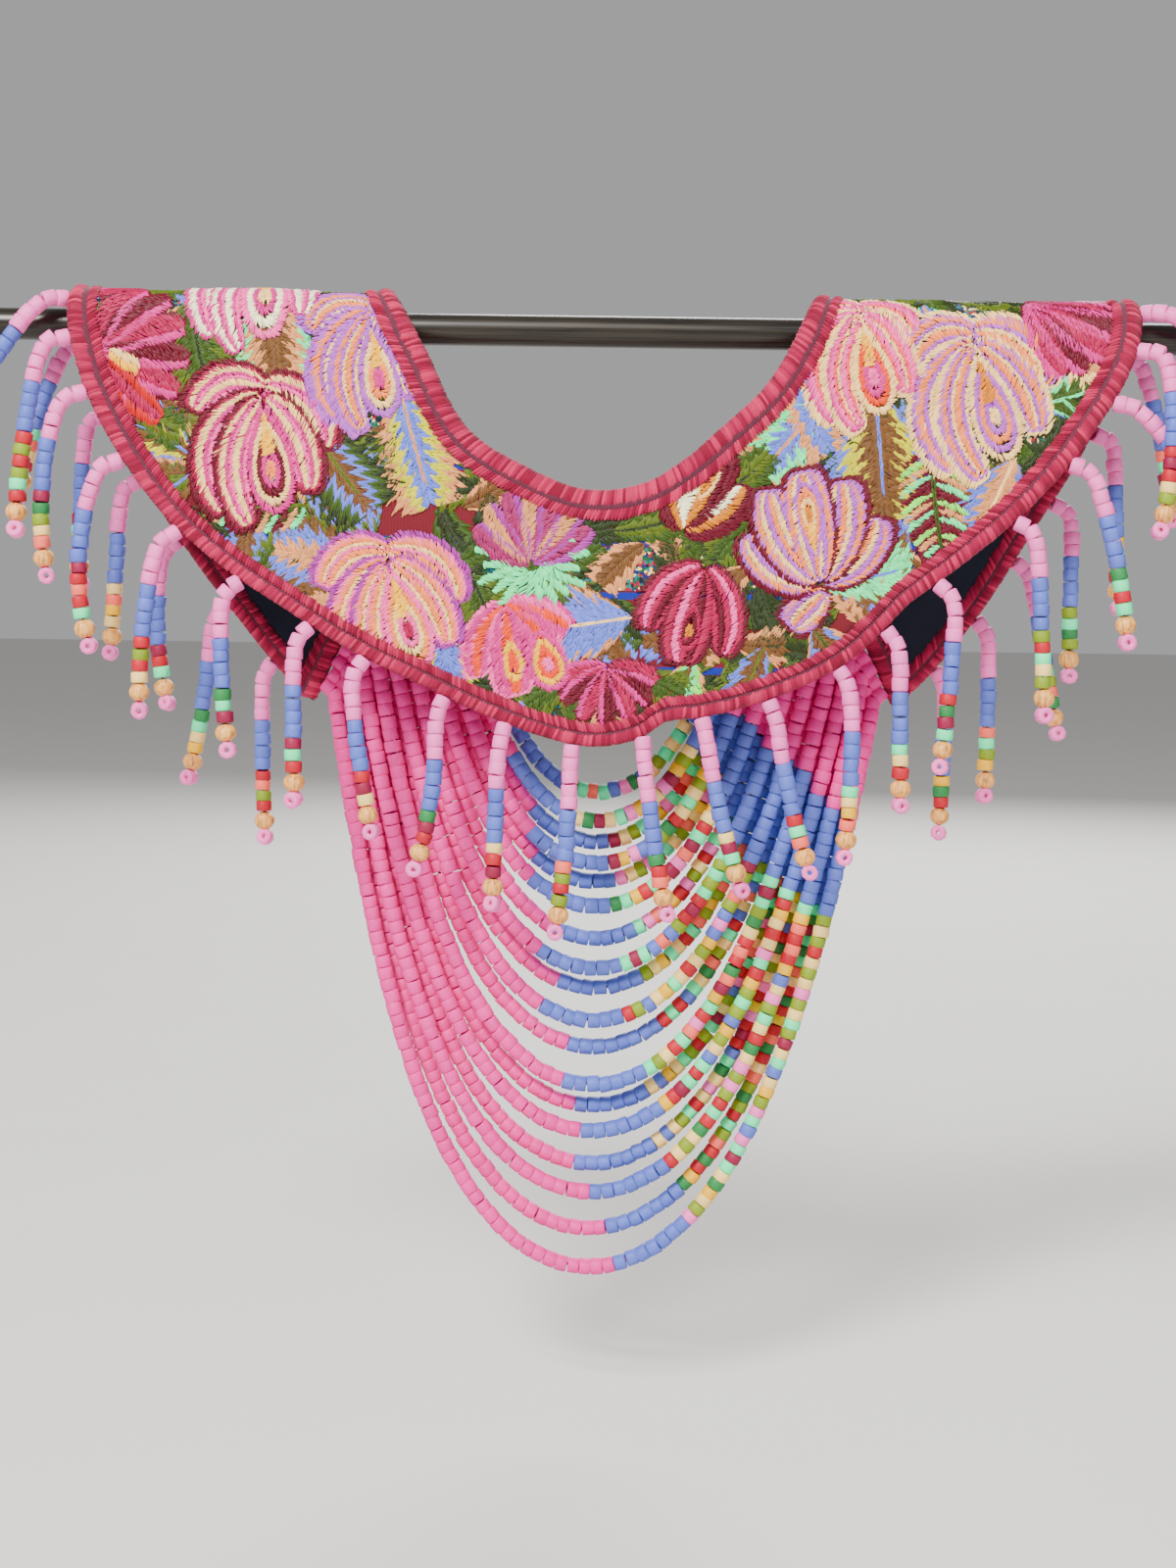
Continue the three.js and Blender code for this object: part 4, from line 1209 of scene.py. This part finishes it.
# The leaves and ferns: base, tip, bend, half width, zones from the rib outwards, rib
leaves = [
    ((-126, 66), (-84, 84), 0.1, 21, ["brown", "brown", "blue", "olive", "darkGreen"], "olive"),
    ((-79, 42), (-66, 88), 0.0, 13, ["blue", "lime", "tan"], "tan"),
    ((-156, 70), (-182, 58), 0.1, 10, ["brown", "lime", "blue"], "blue"),
    ((-156, 76), (-172, 86), -0.1, 8, ["olive", "brown"], "blue"),
    ((-90, 117), (-126, 104), 0.1, 14, ["tan", "blue", "brown"], "tan"),
    ((-92, 122), (-112, 124), 0.0, 7, ["tan", "brown"], "tan"),
    ((10, 128), (-20, 133), 0.0, 24, ["blue", "blue", "tan", "brown"], "cream"),
    ((84, 117), (116, 108), -0.05, 18, ["mint", "mint", "brown", "blue"], "blue"),
    ((60, 138), (50, 164), 0.0, 11, ["brown", "blue", "olive"], "olive"),
    ((78, 130), (92, 150), 0.0, 12, ["brown", "blue", "tan"], "green"),
    ((33, 143), (27, 168), 0.0, 10, ["mint", "paleGreen", "tan"], "brown"),
    ((82, 44), (58, 73), 0.0, 14, ["blue", "mint", "tan"], "tan"),
    ((100, 42), (105, 90), 0.0, 22, ["brown", "lime", "blue"], "blue"),
    ((162, 46), (190, 36), 0.1, 15, ["green", "mint", "blue"], "mint"),
    ((153, 66), (141, 94), 0.0, 15, ["tan", "blue", "brown"], "cream"),
    ((158, 16), (186, 32), 0.1, 9, ["tan", "cream"], "tan"),
    ((-128, 6), (-124, 40), 0.0, 15, ["brown", "tan", "mint"], "brown"),
    ((-156, 8), (-150, 44), 0.1, 12, ["green", "olive"], "darkGreen"),
    ((-196, 4), (-160, 2), 0.1, 7, ["olive", "green"], None),
    ((-178, 52), (-160, 62), 0.1, 7, ["olive", "green"], "darkGreen"),
    ((2, 96), (62, 64), 0.22, 8, ["olive", "green"], "darkGreen"),
    ((-52, 112), (-44, 152), -0.2, 11, ["green", "olive"], "darkGreen"),
    ((-46, 118), (-12, 118), -0.1, 8, ["olive", "green"], "darkGreen"),
    ((54, 108), (36, 146), 0.25, 8, ["brown", "tan"], "brown"),
    ((-14, 152), (-30, 162), 0.0, 8, ["green", "olive"], None),
    ((14, 150), (30, 158), 0.0, 8, ["green", "olive"], None),
    ((70, 30), (84, 66), 0.1, 8, ["blue", "tan"], None),
    ((-66, 124), (-58, 160), -0.1, 9, ["blue", "lime"], "blue"),
    ((-114, 56), (-89, 90), 0.0, 13, ["brown", "blue", "green", "darkGreen"], "olive"),
    ((118, 8), (124, 34), 0.0, 9, ["blue", "mint"], "tan"),
    ((-70, 12), (-62, 34), 0.0, 8, ["tan", "brown"], "tan"),
    ((170, 44), (184, 56), 0.0, 8, ["green", "darkGreen"], "mint"),
]
for base, tip, bend, half, zones, rib in leaves:
    leaf(base, tip, bend, half, zones, rib)
fern((-112, 88), (-152, 92), 0.08, 10, ["mint", "tan", "maroon"], "green", "olive")
fern((122, 62), (128, 108), 0.06, 13, ["mint", "maroon", "paleGreen", "tan"], "maroon", "green")

# The flowers: place of the base, heading from straight down towards the right, size, colours
fanFlower(-192, 31, 86, 36, ["magenta", "maroon", "pink"], 62)
petal((-190, 34), (-168, 56), 0.1, 5.5, ["red", "magenta", "red"], level=0.6)
petal((-188, 31), (-176, 37), 0.1, 3, ["cream", "yellow"], level=0.68)
rose("hanging", -133, -16, 0, 41, ("white", "pink", "palePink"),
     "pink", None, ["palePink", "white", "pink", "cream"])
rose("hanging", -130, 50, 2, 40, ("cream", "pink", "palePink"),
     "magenta", "maroon", ["pink", "cream", "maroon", "pink", "peach"])
rose("hanging", -90, 19, 4, 35, ("peach", "lilac", "cream"),
     "lilac", "lilac", ["lilac", "cream", "peach", "pink"])
rose("hanging", -82, 111, 12, 39, ("peach", "cream", "palePink"),
     "palePink", "purple", ["palePink", "peach", "cream", "palePink", "magenta"])
fanFlower(-28, 108, 180, 30, ["mauve", "tan", "purple"], 58, "mint")
bud(-38, 124, 8, 32, ["pink", "orange", "pink"], "palePink", ["yellow", "orange"])
petal((-38, 124), (-14, 132), -0.15, 5, ["palePink", "orange", "pink"], "pink", 1.2, 0.5)
heart((-26, 132), (-18, 156), 9, ["pink", "yellow", "orange", "palePink"], None, 0.72)
fanFlower(1, 147, 0, 23, ["magenta", "maroon", "pink"], 76)
bud(37, 109, -14, 35, ["magenta", "maroon", "magenta", "palePink", "magenta"], "maroon",
    ["magenta", "maroon", "gold"])
bud(29, 95, 154, 31, ["white", "gold", "maroon"], "maroon", ["cream", "gold", "maroon"])
rose("fan", 81, 114, 191, 39, ("peach", "lilac", "cream"),
     "lilac", "maroon", ["lilac", "peach", "cream", "gold"])
rose("hanging", 94, 17, 8, 34, ("palePink", "salmon", "cream"),
     "pink", "cream", ["cream", "orange", "pink", "palePink"])
rose("hanging", 137, 27, 12, 41, ("peach", "lilac", "cream"),
     "lilac", "cream", ["cream", "lilac", "peach", "lilac", "cream"], "gold")
fanFlower(158, 6, 68, 38, ["magenta", "maroon", "pink"], 44)

# The two arms, which hang behind: ring angle and radius, heading, size and kind
armMotifs = [(100, 150, 0, 40, "fern"), (112, 112, 20, 36, "leaf"), (107, 176, -40, 34, "leaf"),
             (121, 168, 30, 36, "leaf"), (134, 118, -20, 34, "leaf"), (128, 182, -60, 30, "leaf"),
             (139, 182, 20, 30, "leaf"), (96, 104, 10, 30, "leaf"), (107, 128, 0, 44, "rose"),
             (127, 132, 0, 44, "fan"), (136, 158, 0, 34, "bud"), (95, 176, 10, 32, "spray")]
leafZones = [["brown", "blue", "olive"], ["green", "mint", "tan"]]
for side, tones, roseRim in ((-1, ("cream", "pink", "palePink"), "maroon"),
                             (1, ("peach", "lilac", "cream"), "purple")):
    for angle, radius, heading, size, kind in armMotifs:
        u, v = (float(c) for c in cutPoint(side * float(angle), float(radius)))
        out = side * (angle + heading)
        spot = turnedSpot(u, v, out, size)
        if kind == "rose":
            rose("hanging", u, v, out, size, tones, "magenta", roseRim, ["pink", "cream", "magenta", "peach"])
        elif kind == "fan":
            rose("fan", u, v, out, size, ("palePink",) + tones[1:], "magenta", "maroon",
                 ["lilac", "cream", "gold"])
        elif kind == "bud":
            bud(u, v, out, size, ["salmon", "magenta", "palePink"], "maroon", ["yellow", "orange"])
        elif kind == "spray":
            fanFlower(u, v, out, size, ["magenta", "maroon", "pink"], 60)
        elif kind == "fern":
            fern(spot(0, -0.6), spot(0, 0.6), 0.1, 12, ["mint", "tan", "paleGreen"], "maroon", "green")
        else:
            leaf(spot(0, -0.5), spot(0, 0.6), 0.1, 13, leafZones[angle % 2], "olive")

start, end, tint, height = book.finish()
middleFlat = (start + end) / 2


def makeEmbroidery(name, mask, seed):
    lift = layers["face"][1] + height[mask] - needle["sink"]
    first, last, place, above = (onCloth(*flat[mask].T, lift + up) for flat, up in (
        (start, 0), (end, 0), (middleFlat, 0), (middleFlat, 1)))
    x = unit(last - first)
    y = unit(np.cross(above - place, x))
    long = np.linalg.norm(last - first, axis=1) + needle["overlap"]
    wide = needle["width"] * np.random.default_rng(seed).uniform(0.85, 1.15, len(x))
    sizes = np.stack([long, wide, np.full(len(x), needle["height"])], -1) * metre
    setUnits(name, stitchUnit, thread, place, (x, y, np.cross(x, y)), sizes, tint[mask],
             needle["shade"], seed)


front, leftSide = middleFlat[:, 1] > 0, middleFlat[:, 0] < 0
makeEmbroidery("embroideryFrontLeft", front & leftSide, 21)
makeEmbroidery("embroideryFrontRight", front & ~leftSide, 22)
makeEmbroidery("embroideryArmLeft", ~front & leftSide, 23)
makeEmbroidery("embroideryArmRight", ~front & ~leftSide, 24)

for helper in (wrapUnit, stitchUnit, tubeUnit, roundUnit):
    bpy.data.objects.remove(helper)
